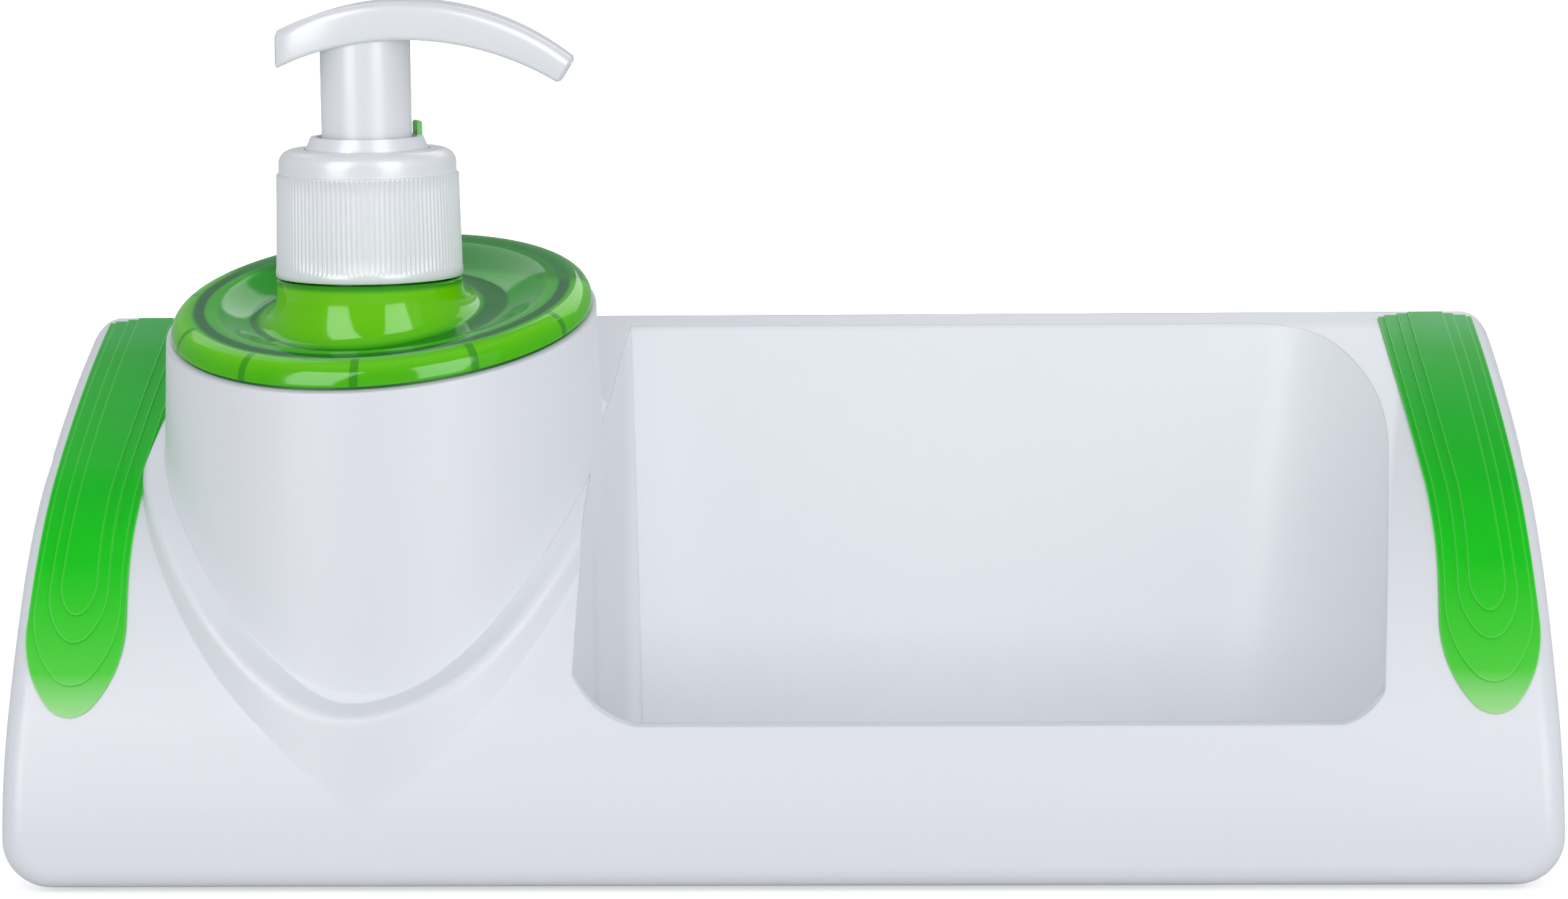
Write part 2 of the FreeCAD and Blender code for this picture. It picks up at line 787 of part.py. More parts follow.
def make_strip(side, floor, tops):
    """Returns one soft strip with its stepped relief, and the block that cuts its recess."""
    levels = []
    blocks = []
    for level, (inset, lift) in enumerate(TERRACES):
        block = strip_block(f"{side}_terrace_{level}", inset, lift, side == "left")
        blocks.append(block)
        levels.append(boolean("common", f"{side}_level_{level}", block, tops[level]))
    stack = boolean("join", f"{side}_stack", *levels)
    strip = boolean("cut", f"grip_strip_{side}", stack, floor)
    recess_block = strip_block(f"{side}_recess_block", "0", "0", side == "left")
    recess = boolean("cut", f"{side}_recess", recess_block, floor)
    return strip, recess


def plate_outline(inset):
    """Returns a rounded rectangle set in from the body's footprint."""
    wide, deep = f"(body_width / 2 - {inset})", f"(body_depth / 2 - {inset})"
    corner = "plate_corner"
    start = (f"-{wide} + {corner}", f"-{deep}")
    return start, [
        ("line", f"{wide} - {corner}", f"-{deep}"),
        ("arc", wide, f"-{deep} + {corner}", corner, 1),
        ("line", wide, f"{deep} - {corner}"),
        ("arc", f"{wide} - {corner}", deep, corner, 1),
        ("line", f"-{wide} + {corner}", deep),
        ("arc", f"-{wide}", f"{deep} - {corner}", corner, 1),
        ("line", f"-{wide}", f"-{deep} + {corner}"),
        ("arc", *start, corner, 1),
    ]


def make_base():
    """Makes the base plate and its feet, and returns the space for the plate in the body."""
    space = new_body("plate_space")
    depth = "plate_recess + plate_thickness + overrun"
    pad(space, "XY_Plane", *plate_outline("(plate_inset - plate_clearance)"), depth, symmetric=False,
        offset="body_lift - overrun", name="space")
    plate = new_body("base_plate")
    pad(plate, "XY_Plane", *plate_outline("plate_inset"), "plate_thickness", symmetric=False,
        offset="body_lift + plate_recess", name="plate")
    before = plate.Shape.Volume
    sketch = new_sketch(plate, "XY_Plane", "foot_seats")
    sketch.setExpression("AttachmentOffset.Base.z", bound("body_lift + plate_recess"))
    reach_x = "(body_width / 2 - plate_inset - foot_inset_x)"
    reach_y = "(body_depth / 2 - plate_inset - foot_inset_y)"
    spots = [(f"{x} * {reach_x}", f"{y} * {reach_y}") for x in (-1, 1) for y in (-1, 1)]
    for x, y in spots:
        circle(sketch, x, y, "foot_radius + foot_clearance")
    seats = plate.newObject("PartDesign::Pocket", "foot_seat_pockets")
    seats.Profile = sketch
    seats.Reversed = True
    bind(seats, Length="foot_seat_depth")
    document.recompute()
    if plate.Shape.Volume >= before:
        raise RuntimeError("the foot seats cut nothing")
    feet = []
    for number, (x, y) in enumerate(spots, start=1):
        foot = document.addObject("Part::Cylinder", f"rubber_foot_{number}")
        foot.Label = f"rubber_foot_{number}"
        bind(foot, Radius="foot_radius", Height="body_lift + plate_recess + foot_seat_depth")
        place(foot, x, y)
        feet.append(foot)
    return space, plate, feet


def make_shell(strip_spaces, plate_space):
    """Returns the white moulded body with its tower, sponge bin, strip recesses and plate recess."""
    hull, sides = make_hull()
    round_front(hull, sides)
    body = boolean("join", "body_form", hull, make_flare(), refine=False)
    plan = make_bin_space()
    mouth = make_bin_mouth()
    inner = under_front("bin_front_limit")
    place(inner, y="bin_front_wall")
    open_front = boolean("common", "bin_opening", plan, mouth)
    behind = boolean("common", "bin_inside", plan, inner)
    spaces = boolean("join", "body_spaces", open_front, behind, *strip_spaces, plate_space)
    hollow = boolean("cut", "hollow_body", body, spaces, refine=False)
    with_tower = boolean("join", "body_with_tower", hollow, make_tower(), refine=False)
    return boolean("cut", "caddy_shell", with_tower, make_reservoir_space(), refine=False)


LID_TOP = "(rim_height + lid_height)"
COLLAR_TOP = "(collar_foot + collar_height)"
NECK_TOP = "(collar_foot + neck_finish_height)"
FLANGE_FOOT = f"({NECK_TOP} + gasket_thickness)"
FLANGE_TOP = f"({FLANGE_FOOT} + flange_thickness)"
WELL_FLOOR = f"({FLANGE_TOP} - well_depth)"
BARREL_FOOT = f"({WELL_FLOOR} - barrel_length)"
CONE_FOOT = f"({BARREL_FOOT} - barrel_cone_height)"
SOCKET_FOOT = f"({CONE_FOOT} - socket_length)"
PISTON_TOP = f"({WELL_FLOOR} - piston_top_gap)"
PISTON_FOOT = f"({PISTON_TOP} - piston_length)"


def make_lid():
    """Makes the green lid: a bevelled cap with a dished top, a ribbed plug beneath and the neck."""
    cap = new_body("lid_cap")
    drum(cap, "0", "lid_radius", "rim_height - overrun", "tower_top_height + overrun")
    cut_above(cap, LID_TOP)
    cut_below(cap, "rim_height + seal_thickness")
    edges = cap.Tip
    middle = value(f"{LID_TOP} - lid_height / 2")

    def on_shoulder(edge):
        """Picks the sloping outer edge of the cap's top."""
        return edge.Curve.TypeId == "Part::GeomEllipse" and edge.CenterOfMass.z > middle

    fillet(cap, edges, "lid_round", on_shoulder)
    on_tower(cap)

    hollow = new_body("lid_cap_hollow")
    drum(hollow, "plug_radius", "lid_radius - lid_wall", "rim_height - overrun",
         "tower_top_height + overrun")
    cut_above(hollow, f"{LID_TOP} - lid_top_wall")
    on_tower(hollow)
    ring_cap = boolean("cut", "lid_cap_ring", cap, hollow)

    plug = new_body("lid_plug")
    plug_foot = "rim_height - plug_radius * tan(rim_slope) - plug_depth"
    drum(plug, "0", "plug_radius", plug_foot, "tower_top_height + overrun")
    cut_above(plug, f"{LID_TOP} - lid_top_wall / 2")
    on_tower(plug)
    plug_hollow = new_body("lid_plug_hollow")
    drum(plug_hollow, "0", "plug_radius - plug_wall", f"{plug_foot} - overrun",
         "tower_top_height + overrun")
    cut_above(plug_hollow, f"{LID_TOP} - dish_depth - lid_top_wall")
    on_tower(plug_hollow)
    dish = new_body("lid_dish")
    revolve(dish, ("0", "-dish_depth"), [
        ("line", "dish_floor_radius", "-dish_depth"),
        ("line", "dish_radius", "0"),
        ("line", "dish_radius", "overrun"),
        ("line", "0", "overrun"),
        ("line", "0", "-dish_depth"),
    ])
    lean = FreeCAD.Rotation(ALONG_X, value("rim_slope"))
    tilt = FreeCAD.Rotation(FACE_UP, value("rim_heading")).multiply(lean)
    place(dish, "tower_x", z=LID_TOP, turn=tilt)
    spaces = boolean("join", "lid_spaces", plug_hollow, dish)

    ribs = new_body("lid_ribs")
    rib_end = "(tower_top_radius - tower_wall - rib_clearance)"
    inner = "(plug_radius - plug_wall / 2)"
    rib = pad(ribs, "XZ_Plane", (inner, "rim_height - overrun"), [
        ("line", rib_end, "rim_height - overrun"),
        ("line", rib_end, "tower_top_height + overrun"),
        ("line", inner, "tower_top_height + overrun"),
        ("line", inner, "rim_height - overrun"),
    ], "rib_thickness", name="rib", heading="rib_heading")
    ring_of(ribs, rib, "rib_count")
    cut_above(ribs, f"{LID_TOP} - lid_top_wall / 2")
    cut_below(ribs, "rim_height - rib_drop")
    on_tower(ribs)
    solid_cap = boolean("join", "lid_solid", ring_cap, plug, ribs)
    shaped = boolean("cut", "lid_shaped", solid_cap, spaces)

    neck = new_body("lid_neck")
    neck_foot = f"{LID_TOP} - dish_depth - lid_top_wall - neck_radius * tan(rim_slope)"
    shoulder = "collar_foot - neck_gap"
    revolve(neck, ("neck_bore_radius", neck_foot), [
        ("line", "neck_radius", neck_foot),
        ("line", "neck_radius", shoulder),
        ("line", "neck_finish_radius", shoulder),
        ("line", "neck_finish_radius", NECK_TOP),
        ("line", "neck_bore_radius", NECK_TOP),
        ("line", "neck_bore_radius", neck_foot),
    ])
    on_pump(neck)
    bore = new_body("lid_bore")
    drum(bore, "0", "neck_bore_radius", f"{neck_foot} - overrun", f"{NECK_TOP} + overrun")
    on_pump(bore)
    joined = boolean("join", "lid_joined", shaped, neck, refine=False)
    bored = boolean("cut", "lid_bored", joined, bore, refine=False)

    neck_radius = value("neck_radius")
    near = value("edge_match")
    axis = FreeCAD.Vector(value("pump_x"), 0, 0)
    low = value(f"{LID_TOP} - dish_depth - lid_top_wall / 2")
    high = value(f"{shoulder} - neck_round")

    def at_neck_foot(edge):
        """Picks the edge where the neck rises from the dish."""
        points = edge.discretize(5)
        around = all(abs(math.hypot(point.x - axis.x, point.y) - neck_radius) < near for point in points)
        return around and all(point.z < high for point in points) and edge.CenterOfMass.z > low

    names = [index for index, edge in enumerate(bored.Shape.Edges, start=1) if at_neck_foot(edge)]
    lid = document.addObject("Part::Fillet", "lid_cover")
    lid.Base = bored
    radius = value("neck_round")
    lid.Edges = [(index, radius, radius) for index in names]
    document.recompute()

    seal = new_body("lid_seal")
    seal_outer = "(lid_radius - seal_inset)"
    drum(seal, f"{seal_outer} - seal_width", seal_outer, "rim_height - overrun",
         "tower_top_height + overrun")
    cut_above(seal, "rim_height + seal_thickness")
    cut_below(seal, "rim_height")
    on_tower(seal)
    return lid, seal


def make_collar():
    """Makes the white screw collar: a foot bead, a tapered grip band and a rounded shoulder."""
    collar = new_body("pump_collar")
    bore = "(neck_finish_radius + collar_bore_clearance)"
    hole = "(guide_outer_radius + guide_clearance)"
    inner_top = f"{COLLAR_TOP} - collar_top_wall"
    band_foot, band_top = "collar_foot + collar_bead_height", "collar_foot + collar_grip_height"
    revolve(collar, (bore, "collar_foot"), [
        ("line", "collar_radius + collar_bead_rise", "collar_foot"),
        ("line", "collar_radius + collar_bead_rise", band_foot),
        ("line", "collar_radius", band_foot),
        ("line", "collar_grip_top_radius", band_top),
        ("line", "collar_band_radius", band_top),
        ("line", "collar_band_radius", f"{COLLAR_TOP} - collar_shoulder_round"),
        ("arc", "collar_band_radius - collar_shoulder_round", COLLAR_TOP, "collar_shoulder_round", 1),
        ("line", hole, COLLAR_TOP),
        ("line", hole, inner_top),
        ("line", bore, inner_top),
        ("line", bore, "collar_foot"),
    ])
    on_pump(collar)
    return collar


def make_closure():
    """Makes the closure inside the collar: the guide ring, its lock tab and the gasket."""
    guide = new_body("guide_ring")
    flange_top = f"{COLLAR_TOP} - collar_top_wall - guide_end_gap"
    stem_hole = "(plunger_radius + plunger_fit)"
    start = (stem_hole, WELL_FLOOR)
    revolve(guide, start, [
        ("line", "guide_sleeve_radius", WELL_FLOOR),
        ("line", "guide_sleeve_radius", FLANGE_TOP),
        ("line", "flange_radius", FLANGE_TOP),
        ("line", "flange_radius", flange_top),
        ("line", "guide_outer_radius", flange_top),
        ("line", "guide_outer_radius", COLLAR_TOP),
        ("line", "guide_top_radius", f"{COLLAR_TOP} + guide_height"),
        ("line", "guide_bore_radius", f"{COLLAR_TOP} + guide_height"),
        ("line", "guide_bore_radius", f"{WELL_FLOOR} + guide_floor"),
        ("line", stem_hole, f"{WELL_FLOOR} + guide_floor"),
        ("line", *start),
    ])
    on_pump(guide)
    gasket = new_body("housing_gasket")
    drum(gasket, "neck_bore_radius", "flange_radius", NECK_TOP, FLANGE_FOOT)
    on_pump(gasket)
    tab = new_body("lock_tab")
    half = "tab_thickness / 2"
    foot = f"{COLLAR_TOP} + guide_height"
    start = (f"tab_radius - {half}", foot)
    pad(tab, "XZ_Plane", start, [
        ("line", f"tab_radius + {half}", foot),
        ("line", f"tab_radius + {half}", f"{foot} + tab_height - {half}"),
        ("arc", f"tab_radius - {half}", f"{foot} + tab_height - {half}", half, 1),
        ("line", *start),
    ], "tab_width", name="tab")
    place(tab, "pump_x", turn=FreeCAD.Rotation(FACE_UP, value("tab_heading")))
    return guide, gasket, tab


def make_housing():
    """Makes the pump housing that hangs in the neck, its dip tube and its inlet ball."""
    housing = new_body("pump_housing")
    well_bore = "(guide_sleeve_radius + guide_fit)"
    well_outer, barrel_outer = f"({well_bore} + well_wall)", "(barrel_radius + barrel_wall)"
    socket_outer = "(tube_radius + tube_fit + socket_wall)"
    start = (well_bore, FLANGE_TOP)
    revolve(housing, start, [
        ("line", "flange_radius", FLANGE_TOP),
        ("line", "flange_radius", FLANGE_FOOT),
        ("line", well_outer, FLANGE_FOOT),
        ("line", well_outer, f"{WELL_FLOOR} - well_wall"),
        ("line", barrel_outer, f"{WELL_FLOOR} - well_wall"),
        ("line", barrel_outer, BARREL_FOOT),
        ("line", socket_outer, CONE_FOOT),
        ("line", socket_outer, SOCKET_FOOT),
        ("line", "tube_radius + tube_fit", SOCKET_FOOT),
        ("line", "tube_radius + tube_fit", f"{SOCKET_FOOT} + tube_seat_depth"),
        ("line", "inlet_seat_radius", f"{SOCKET_FOOT} + tube_seat_depth"),
        ("line", "inlet_seat_radius", CONE_FOOT),
        ("line", "barrel_radius", BARREL_FOOT),
        ("line", "barrel_radius", WELL_FLOOR),
        ("line", well_bore, WELL_FLOOR),
        ("line", *start),
    ])
    on_pump(housing)
    tube = new_body("dip_tube")
    drum(tube, "tube_bore_radius", "tube_radius", "reservoir_floor + tube_floor_gap",
         f"{SOCKET_FOOT} + tube_seat_depth")
    on_pump(tube)
    flare = "((barrel_radius - inlet_seat_radius) / barrel_cone_height)"
    rest = f"(inlet_ball_radius * sqrt(1 + {flare} * {flare}) - inlet_seat_radius) / {flare}"
    ball = document.addObject("Part::Sphere", "inlet_ball")
    bind(ball, Radius="inlet_ball_radius")
    place(ball, "pump_x", z=f"{CONE_FOOT} + {rest} + ball_lift")
    return housing, tube, ball


def make_spring():
    """Returns the return spring, one wound wire of six flats between the barrel's foot and the piston."""
    wire = value("spring_wire_radius")
    foot = value(f"{BARREL_FOOT} + spring_end_gap") + wire
    top = value(f"{PISTON_FOOT} - spring_end_gap") - wire
    radius = value("spring_radius")
    path = Part.makeHelix((top - foot) / value("spring_turns"), top - foot, radius)
    corners = []
    for number in range(7):
        heading = math.radians(60 * number)
        corners.append(FreeCAD.Vector(radius + wire * math.cos(heading), 0, wire * math.sin(heading)))
    shape = Part.Wire(path.Edges).makePipeShell([Part.makePolygon(corners)], True, True)
    spring = document.addObject("Part::Feature", "return_spring")
    spring.Shape = shape
    place(spring, "pump_x", z=f"{BARREL_FOOT} + spring_end_gap + spring_wire_radius")
    return spring


def make_plunger():
    """Makes the plunger: its stem, its piston seal and the outlet ball in the stem's top."""
    stem = new_body("plunger_stem")
    cage_foot = "plunger_top - outlet_cage_depth"
    start = ("plunger_bore_radius", PISTON_FOOT)
    revolve(stem, start, [
        ("line", "plunger_radius", PISTON_FOOT),
        ("line", "plunger_radius", "plunger_top"),
        ("line", "outlet_cage_radius", "plunger_top"),
        ("line", "outlet_cage_radius", cage_foot),
        ("line", "plunger_bore_radius / 2", f"{cage_foot} - outlet_ball_radius"),
        ("line", "plunger_bore_radius", f"{cage_foot} - 2 * outlet_ball_radius"),
        ("line", *start),
    ])
    on_pump(stem)
    piston = new_body("piston_seal")
    bore, outer = "plunger_radius + piston_fit", "barrel_radius - piston_clearance"
    drum(piston, bore, outer, PISTON_FOOT, PISTON_TOP)
    on_pump(piston)
    seat = "((outlet_cage_radius - plunger_bore_radius / 2) / outlet_ball_radius)"
    rest = f"(outlet_ball_radius * sqrt(1 + {seat} * {seat}) - plunger_bore_radius / 2) / {seat}"
    ball = document.addObject("Part::Sphere", "outlet_ball")
    bind(ball, Radius="outlet_ball_radius")
    place(ball, "pump_x", z=f"{cage_foot} - outlet_ball_radius + {rest} + ball_lift")
    return stem, piston, ball


def make_head():
    """Makes the pump head: an arched lever on a hollow sleeve, with the nozzle in its long end."""
    arch = new_body("head_arch")
    tail, nose = "head_tail_x", "head_nose_x"
    start = (tail, "head_tail_foot")
    pad(arch, "XZ_Plane", start, [
        ("arc", "head_nose_foot_x", "head_nose_foot", "head_foot_radius", -1),
        ("line", nose, "head_nose_top"),
        ("arc", tail, "head_tail_top", "head_top_radius", 1),
        ("line", *start),
    ], "body_depth", name="arch")
    plan = new_body("head_plan")
    tail_half, nose_half = "head_tail_width / 2", "head_nose_width / 2"
    start = (tail, f"-{tail_half}")
    pad(plan, "XY_Plane", start, [
        ("arc", nose, f"-{nose_half}", "head_plan_radius", 1),
        ("line", nose, nose_half),
        ("arc", tail, tail_half, "head_plan_radius", 1),
        ("line", *start),
    ], "4 * head_tail_top", name="plan")
    bar = boolean("common", "head_bar", arch, plan)
    span = value("head_nose_x - head_tail_x")
    names = []
    for index, edge in enumerate(bar.Shape.Edges, start=1):
        middle = edge.valueAt((edge.FirstParameter + edge.LastParameter) / 2)
        if edge.Length > span and middle.z > value("head_tail_top"):
            names.append((index, value("head_edge_round"), value("head_edge_round")))
    rounded = document.addObject("Part::Fillet", "head_bar_rounded")
    rounded.Base = bar
    rounded.Edges = names
    document.recompute()
    on_axis = new_body("head_sleeve")
    sleeve_bore = "(sleeve_radius - sleeve_wall)"
    socket = "(plunger_radius + plunger_fit)"
    revolve(on_axis, (sleeve_bore, "sleeve_foot"), [
        ("line", "sleeve_radius", "sleeve_foot"),
        ("line", "sleeve_radius", "head_tail_top"),
        ("line", "0", "head_tail_top"),
        ("line", "0", "plunger_top + plunger_fit"),
        ("line", socket, "plunger_top + plunger_fit"),
        ("line", socket, "boss_foot"),
        ("line", "boss_radius", "boss_foot"),
        ("line", "boss_radius", "sleeve_ceiling"),
        ("line", sleeve_bore, "sleeve_ceiling"),
        ("line", sleeve_bore, "sleeve_foot"),
    ])
    core = new_body("head_core_space")
    drum(core, "0", socket, "boss_foot", "plunger_top + plunger_fit")
    joined = boolean("join", "head_joined", rounded, on_axis)
    nozzle = document.addObject("Part::Cylinder", "nozzle_space")
    bind(nozzle, Radius="nozzle_bore_radius", Height="2 * nozzle_bore_depth")
    middle_x, middle_z = "(head_nose_x + head_nose_foot_x) / 2", "(head_nose_top + head_nose_foot) / 2"
    run, rise = "(head_nose_x - head_nose_foot_x)", "(head_nose_top - head_nose_foot)"
    face = f"sqrt({run} * {run} + {rise} * {rise})"
    turn = FreeCAD.Rotation(FACE_UP, FreeCAD.Vector(-value(rise), 0, value(run)))
    place(nozzle, f"{middle_x} + nozzle_bore_depth * {rise} / {face}",
          z=f"{middle_z} - nozzle_bore_depth * {run} / {face}", turn=turn)
    spaces = boolean("join", "head_spaces", core, nozzle)
    head = boolean("cut", "pump_head", joined, spaces)
    on_pump(head)
    return head


def make_all():
    """Makes every piece and returns them by node name."""
    strip_floor, strip_tops = make_strip_faces()
    left_strip, left_recess = make_strip("left", strip_floor, strip_tops)
    right_strip, right_recess = make_strip("right", strip_floor, strip_tops)
    plate_space, plate, feet = make_base()
    shell = make_shell((left_recess, right_recess), plate_space)
    lid, seal = make_lid()
    collar = make_collar()
    guide, gasket, tab = make_closure()
    housing, tube, inlet_ball = make_housing()
    spring = make_spring()
    stem, piston, outlet_ball = make_plunger()
    head = make_head()
    pieces = {
        "caddy_shell": shell,
        "base_plate": plate,
        "grip_strip_left": left_strip,
        "grip_strip_right": right_strip,
        "lid_cover": lid,
        "lid_seal": seal,
        "pump_collar": collar,
        "guide_ring": guide,
        "housing_gasket": gasket,
        "lock_tab": tab,
        "pump_housing": housing,
        "dip_tube": tube,
        "inlet_ball": inlet_ball,
        "return_spring": spring,
        "plunger_stem": stem,
        "piston_seal": piston,
        "outlet_ball": outlet_ball,
        "pump_head": head,
    }
    for number, foot in enumerate(feet, start=1):
        pieces[f"rubber_foot_{number}"] = foot
    return pieces


def write_all(pieces):
    """Checks every object and writes one file for each piece."""
    document.recompute()
    for item in document.Objects:
        if "Invalid" in item.State or "Error" in item.State:
            raise RuntimeError(f"{item.Label}: {item.State}")
    os.makedirs("parts", exist_ok=True)
    for node, item in pieces.items():
        shape = item.Shape
        if shape.isNull() or not shape.isValid() or len(shape.Solids) != 1:
            raise RuntimeError(f"{node}: not one valid solid")
        item.Label = node
        shape.exportStep(f"parts/{node}.step")


write_all(make_all())
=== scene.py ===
"""Soap pump caddy: finishes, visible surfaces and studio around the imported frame.

The caddy stands on Z = 0 with its open front towards -Y. Lengths are metres and angles are radians
unless a name says otherwise. Every piece keeps its place in its own mesh.
"""
import logging
import math
from dataclasses import dataclass, field
from enum import Enum
from typing import Callable, Optional, Sequence, Union

import bmesh
import bpy
import numpy as np
from mathutils import Matrix, Vector

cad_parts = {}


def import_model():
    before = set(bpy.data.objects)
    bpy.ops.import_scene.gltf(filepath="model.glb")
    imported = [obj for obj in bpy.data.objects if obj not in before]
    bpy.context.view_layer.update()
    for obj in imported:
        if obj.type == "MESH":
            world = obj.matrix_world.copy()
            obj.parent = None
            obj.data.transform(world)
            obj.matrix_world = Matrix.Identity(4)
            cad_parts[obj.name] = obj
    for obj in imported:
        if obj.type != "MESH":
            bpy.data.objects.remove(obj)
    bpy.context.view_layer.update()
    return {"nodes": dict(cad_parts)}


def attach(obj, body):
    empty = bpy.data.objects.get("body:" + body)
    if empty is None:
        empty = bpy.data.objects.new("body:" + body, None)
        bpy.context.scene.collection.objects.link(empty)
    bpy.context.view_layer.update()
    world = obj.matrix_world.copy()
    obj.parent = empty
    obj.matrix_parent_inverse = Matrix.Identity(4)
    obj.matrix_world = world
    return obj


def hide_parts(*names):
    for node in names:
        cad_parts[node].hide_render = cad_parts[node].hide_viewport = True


MM = 0.001
# The X of the pump's and the tower's axes and the neck's top in millimetres, and the lid's ribs in degrees
PUMP_X = -70.65
TOWER_X = -68.65
NECK_TOP = 97.0
LID_RIBS = 11
RIB_HEADING = 6.9
LOG = logging.getLogger("soap_pump_caddy")
Colour = tuple[float, float, float]
Number = Union[float, "Wire"]


class Lights(Enum):
    """What a lamp lights: whole surfaces, only their matt colour or only their gloss."""

    ALL = "all"
    MATT = "matt"
    GLOSS = "gloss"


class Wire:
    """A shader socket that adds Math nodes when it is used in an expression."""

    def __init__(self, graph: "Graph", socket: bpy.types.NodeSocket) -> None:
        """Keeps the socket and the graph that it belongs to."""
        self.graph = graph
        self.socket = socket

    def _math(self, operation: str, *values: Number) -> "Wire":
        """Adds one Math node.

        Args:
            operation: the node's operation.
            values: its inputs, in order.

        Returns:
            The node's result.
        """
        inputs = dict(enumerate(values))
        return self.graph.node("ShaderNodeMath", {"operation": operation}, inputs)

    def __add__(self, other: Number) -> "Wire":
        """Returns self + other."""
        return self._math("ADD", self, other)

    __radd__ = __add__

    def __sub__(self, other: Number) -> "Wire":
        """Returns self - other."""
        return self._math("SUBTRACT", self, other)

    def __rsub__(self, other: Number) -> "Wire":
        """Returns other - self."""
        return self._math("SUBTRACT", other, self)

    def __mul__(self, other: Number) -> "Wire":
        """Returns self * other."""
        return self._math("MULTIPLY", self, other)

    __rmul__ = __mul__

    def clipped(self) -> "Wire":
        """Returns the value kept between 0 and 1."""
        return self._math("MAXIMUM", self._math("MINIMUM", self, 1.0), 0.0)

    def root(self) -> "Wire":
        """Returns the square root."""
        return self._math("SQRT", self)

    def size(self) -> "Wire":
        """Returns the value without its sign."""
        return self._math("ABSOLUTE", self)

    def fraction(self) -> "Wire":
        """Returns what is left over a whole number."""
        return self._math("FRACT", self)

    def heading(self, other: "Wire") -> "Wire":
        """Returns the angle of the direction whose sine side is self and whose cosine side is other."""
        return self._math("ARCTAN2", self, other)

    def climb(self, low: float, high: float) -> "Wire":
        """Returns a value that goes from 0 where self is low to 1 where self is high."""
        return ((self - low) * (1.0 / (high - low))).clipped()


class Graph:
    """The node graph of one material or world."""

    bevel_samples: int = 6

    def __init__(self, name: str) -> None:
        """Starts an empty material of that name."""
        self.material = bpy.data.materials.new(name)
        self.material.use_nodes = True
        self.tree = self.material.node_tree
        self.output = "ShaderNodeOutputMaterial"
        self.tree.nodes.clear()

    @classmethod
    def of_world(cls, world: bpy.types.World) -> "Graph":
        """Takes over the graph of a world.

        Args:
            world: the world, which has nodes.

        Returns:
            Its graph, emptied.
        """
        graph = cls.__new__(cls)
        graph.material = None
        graph.tree = world.node_tree
        graph.output = "ShaderNodeOutputWorld"
        graph.tree.nodes.clear()
        return graph

    def node(
        self,
        kind: str,
        settings: Optional[dict] = None,
        inputs: Optional[dict] = None,
        output: Union[int, str] = 0,
    ) -> Wire:
        """Adds one node.

        Args:
            kind: the node's type.
            settings: its own properties, set first. The key "stops" holds a ramp's (place, colour) pairs.
            inputs: values or wires by socket name or number.
            output: the socket that is returned.

        Returns:
            The chosen output as a wire.
        """
        made = self.tree.nodes.new(kind)
        for key, value in (settings or {}).items():
            if key == "stops":
                self._set_stops(made.color_ramp, value)
            else:
                setattr(made, key, value)
        for key, value in (inputs or {}).items():
            if isinstance(value, Wire):
                self.tree.links.new(value.socket, made.inputs[key])
            else:
                made.inputs[key].default_value = value
        return Wire(self, made.outputs[output])

    @staticmethod
    def _set_stops(ramp: bpy.types.ColorRamp, stops: Sequence[tuple[float, Colour]]) -> None:
        """Gives a ramp its stops.

        Args:
            ramp: the ramp, which starts with two stops.
            stops: the place from 0 to 1 and the colour of each stop, in order.
        """
        while len(ramp.elements) < len(stops):
            ramp.elements.new(0.5)
        for element, (place, colour) in zip(ramp.elements, stops):
            element.position = place
            element.color = (*colour, 1.0)

    def coordinates(self) -> Wire:
        """Returns the object coordinates that patterns are laid in."""
        return self.node("ShaderNodeTexCoord", output="Object")

    def noise(self, size: float) -> Wire:
        """Returns smooth noise from 0 to 1 whose lumps are about the given size."""
        return self.node("ShaderNodeTexNoise", None, {"Vector": self.coordinates(), "Scale": 1.0 / size})

    def along(self, axis: str) -> Wire:
        """Returns the object coordinate along the axis X, Y or Z."""
        return self.node("ShaderNodeSeparateXYZ", None, {0: self.coordinates()}, axis)

    def height(self, low: float, high: float) -> Wire:
        """Returns a value that climbs from 0 at the low Z to 1 at the high Z."""
        return self.along("Z").climb(low, high)

    def ramp(self, place: Wire, stops: Sequence[tuple[float, Colour]]) -> Wire:
        """Returns the colour of a row of stops at a place from 0 to 1."""
        return self.node("ShaderNodeValToRGB", {"stops": stops}, {0: place})

    def rounded_normal(self, radius: float) -> Wire:
        """Returns normals that bend softly over the edges."""
        return self.node("ShaderNodeBevel", {"samples": self.bevel_samples}, {"Radius": radius})

    def edge(self, radius: float, gain: float) -> Wire:
        """Masks the edges: the gain times one less the dot product of the rounded and the true normal.

        Args:
            radius: how far the normals are rounded beside an edge.
            gain: how quickly the mask fills.

        Returns:
            The mask, which is 1 along the edges and 0 on plain ground.
        """
        true_normal = self.node("ShaderNodeNewGeometry", output="Normal")
        normals = {0: self.rounded_normal(radius), 1: true_normal}
        likeness = self.node("ShaderNodeVectorMath", {"operation": "DOT_PRODUCT"}, normals, "Value")
        return ((1.0 - likeness) * gain).clipped()

    def blend(self, factor: Number, first: Union[Colour, Wire], second: Union[Colour, Wire]) -> Wire:
        """Returns a colour between two others."""
        first, second = ((*c, 1.0) if isinstance(c, tuple) else c for c in (first, second))
        return self.node("ShaderNodeMix", {"data_type": "RGBA"}, {0: factor, 6: first, 7: second}, 2)

    def finish(self, shader: Wire) -> Optional[bpy.types.Material]:
        """Joins a shader to the output.

        Args:
            shader: the surface or background shader.

        Returns:
            The material, or nothing for a world.
        """
        output = self.tree.nodes.new(self.output)
        self.tree.links.new(shader.socket, output.inputs["Surface"])
        return self.material


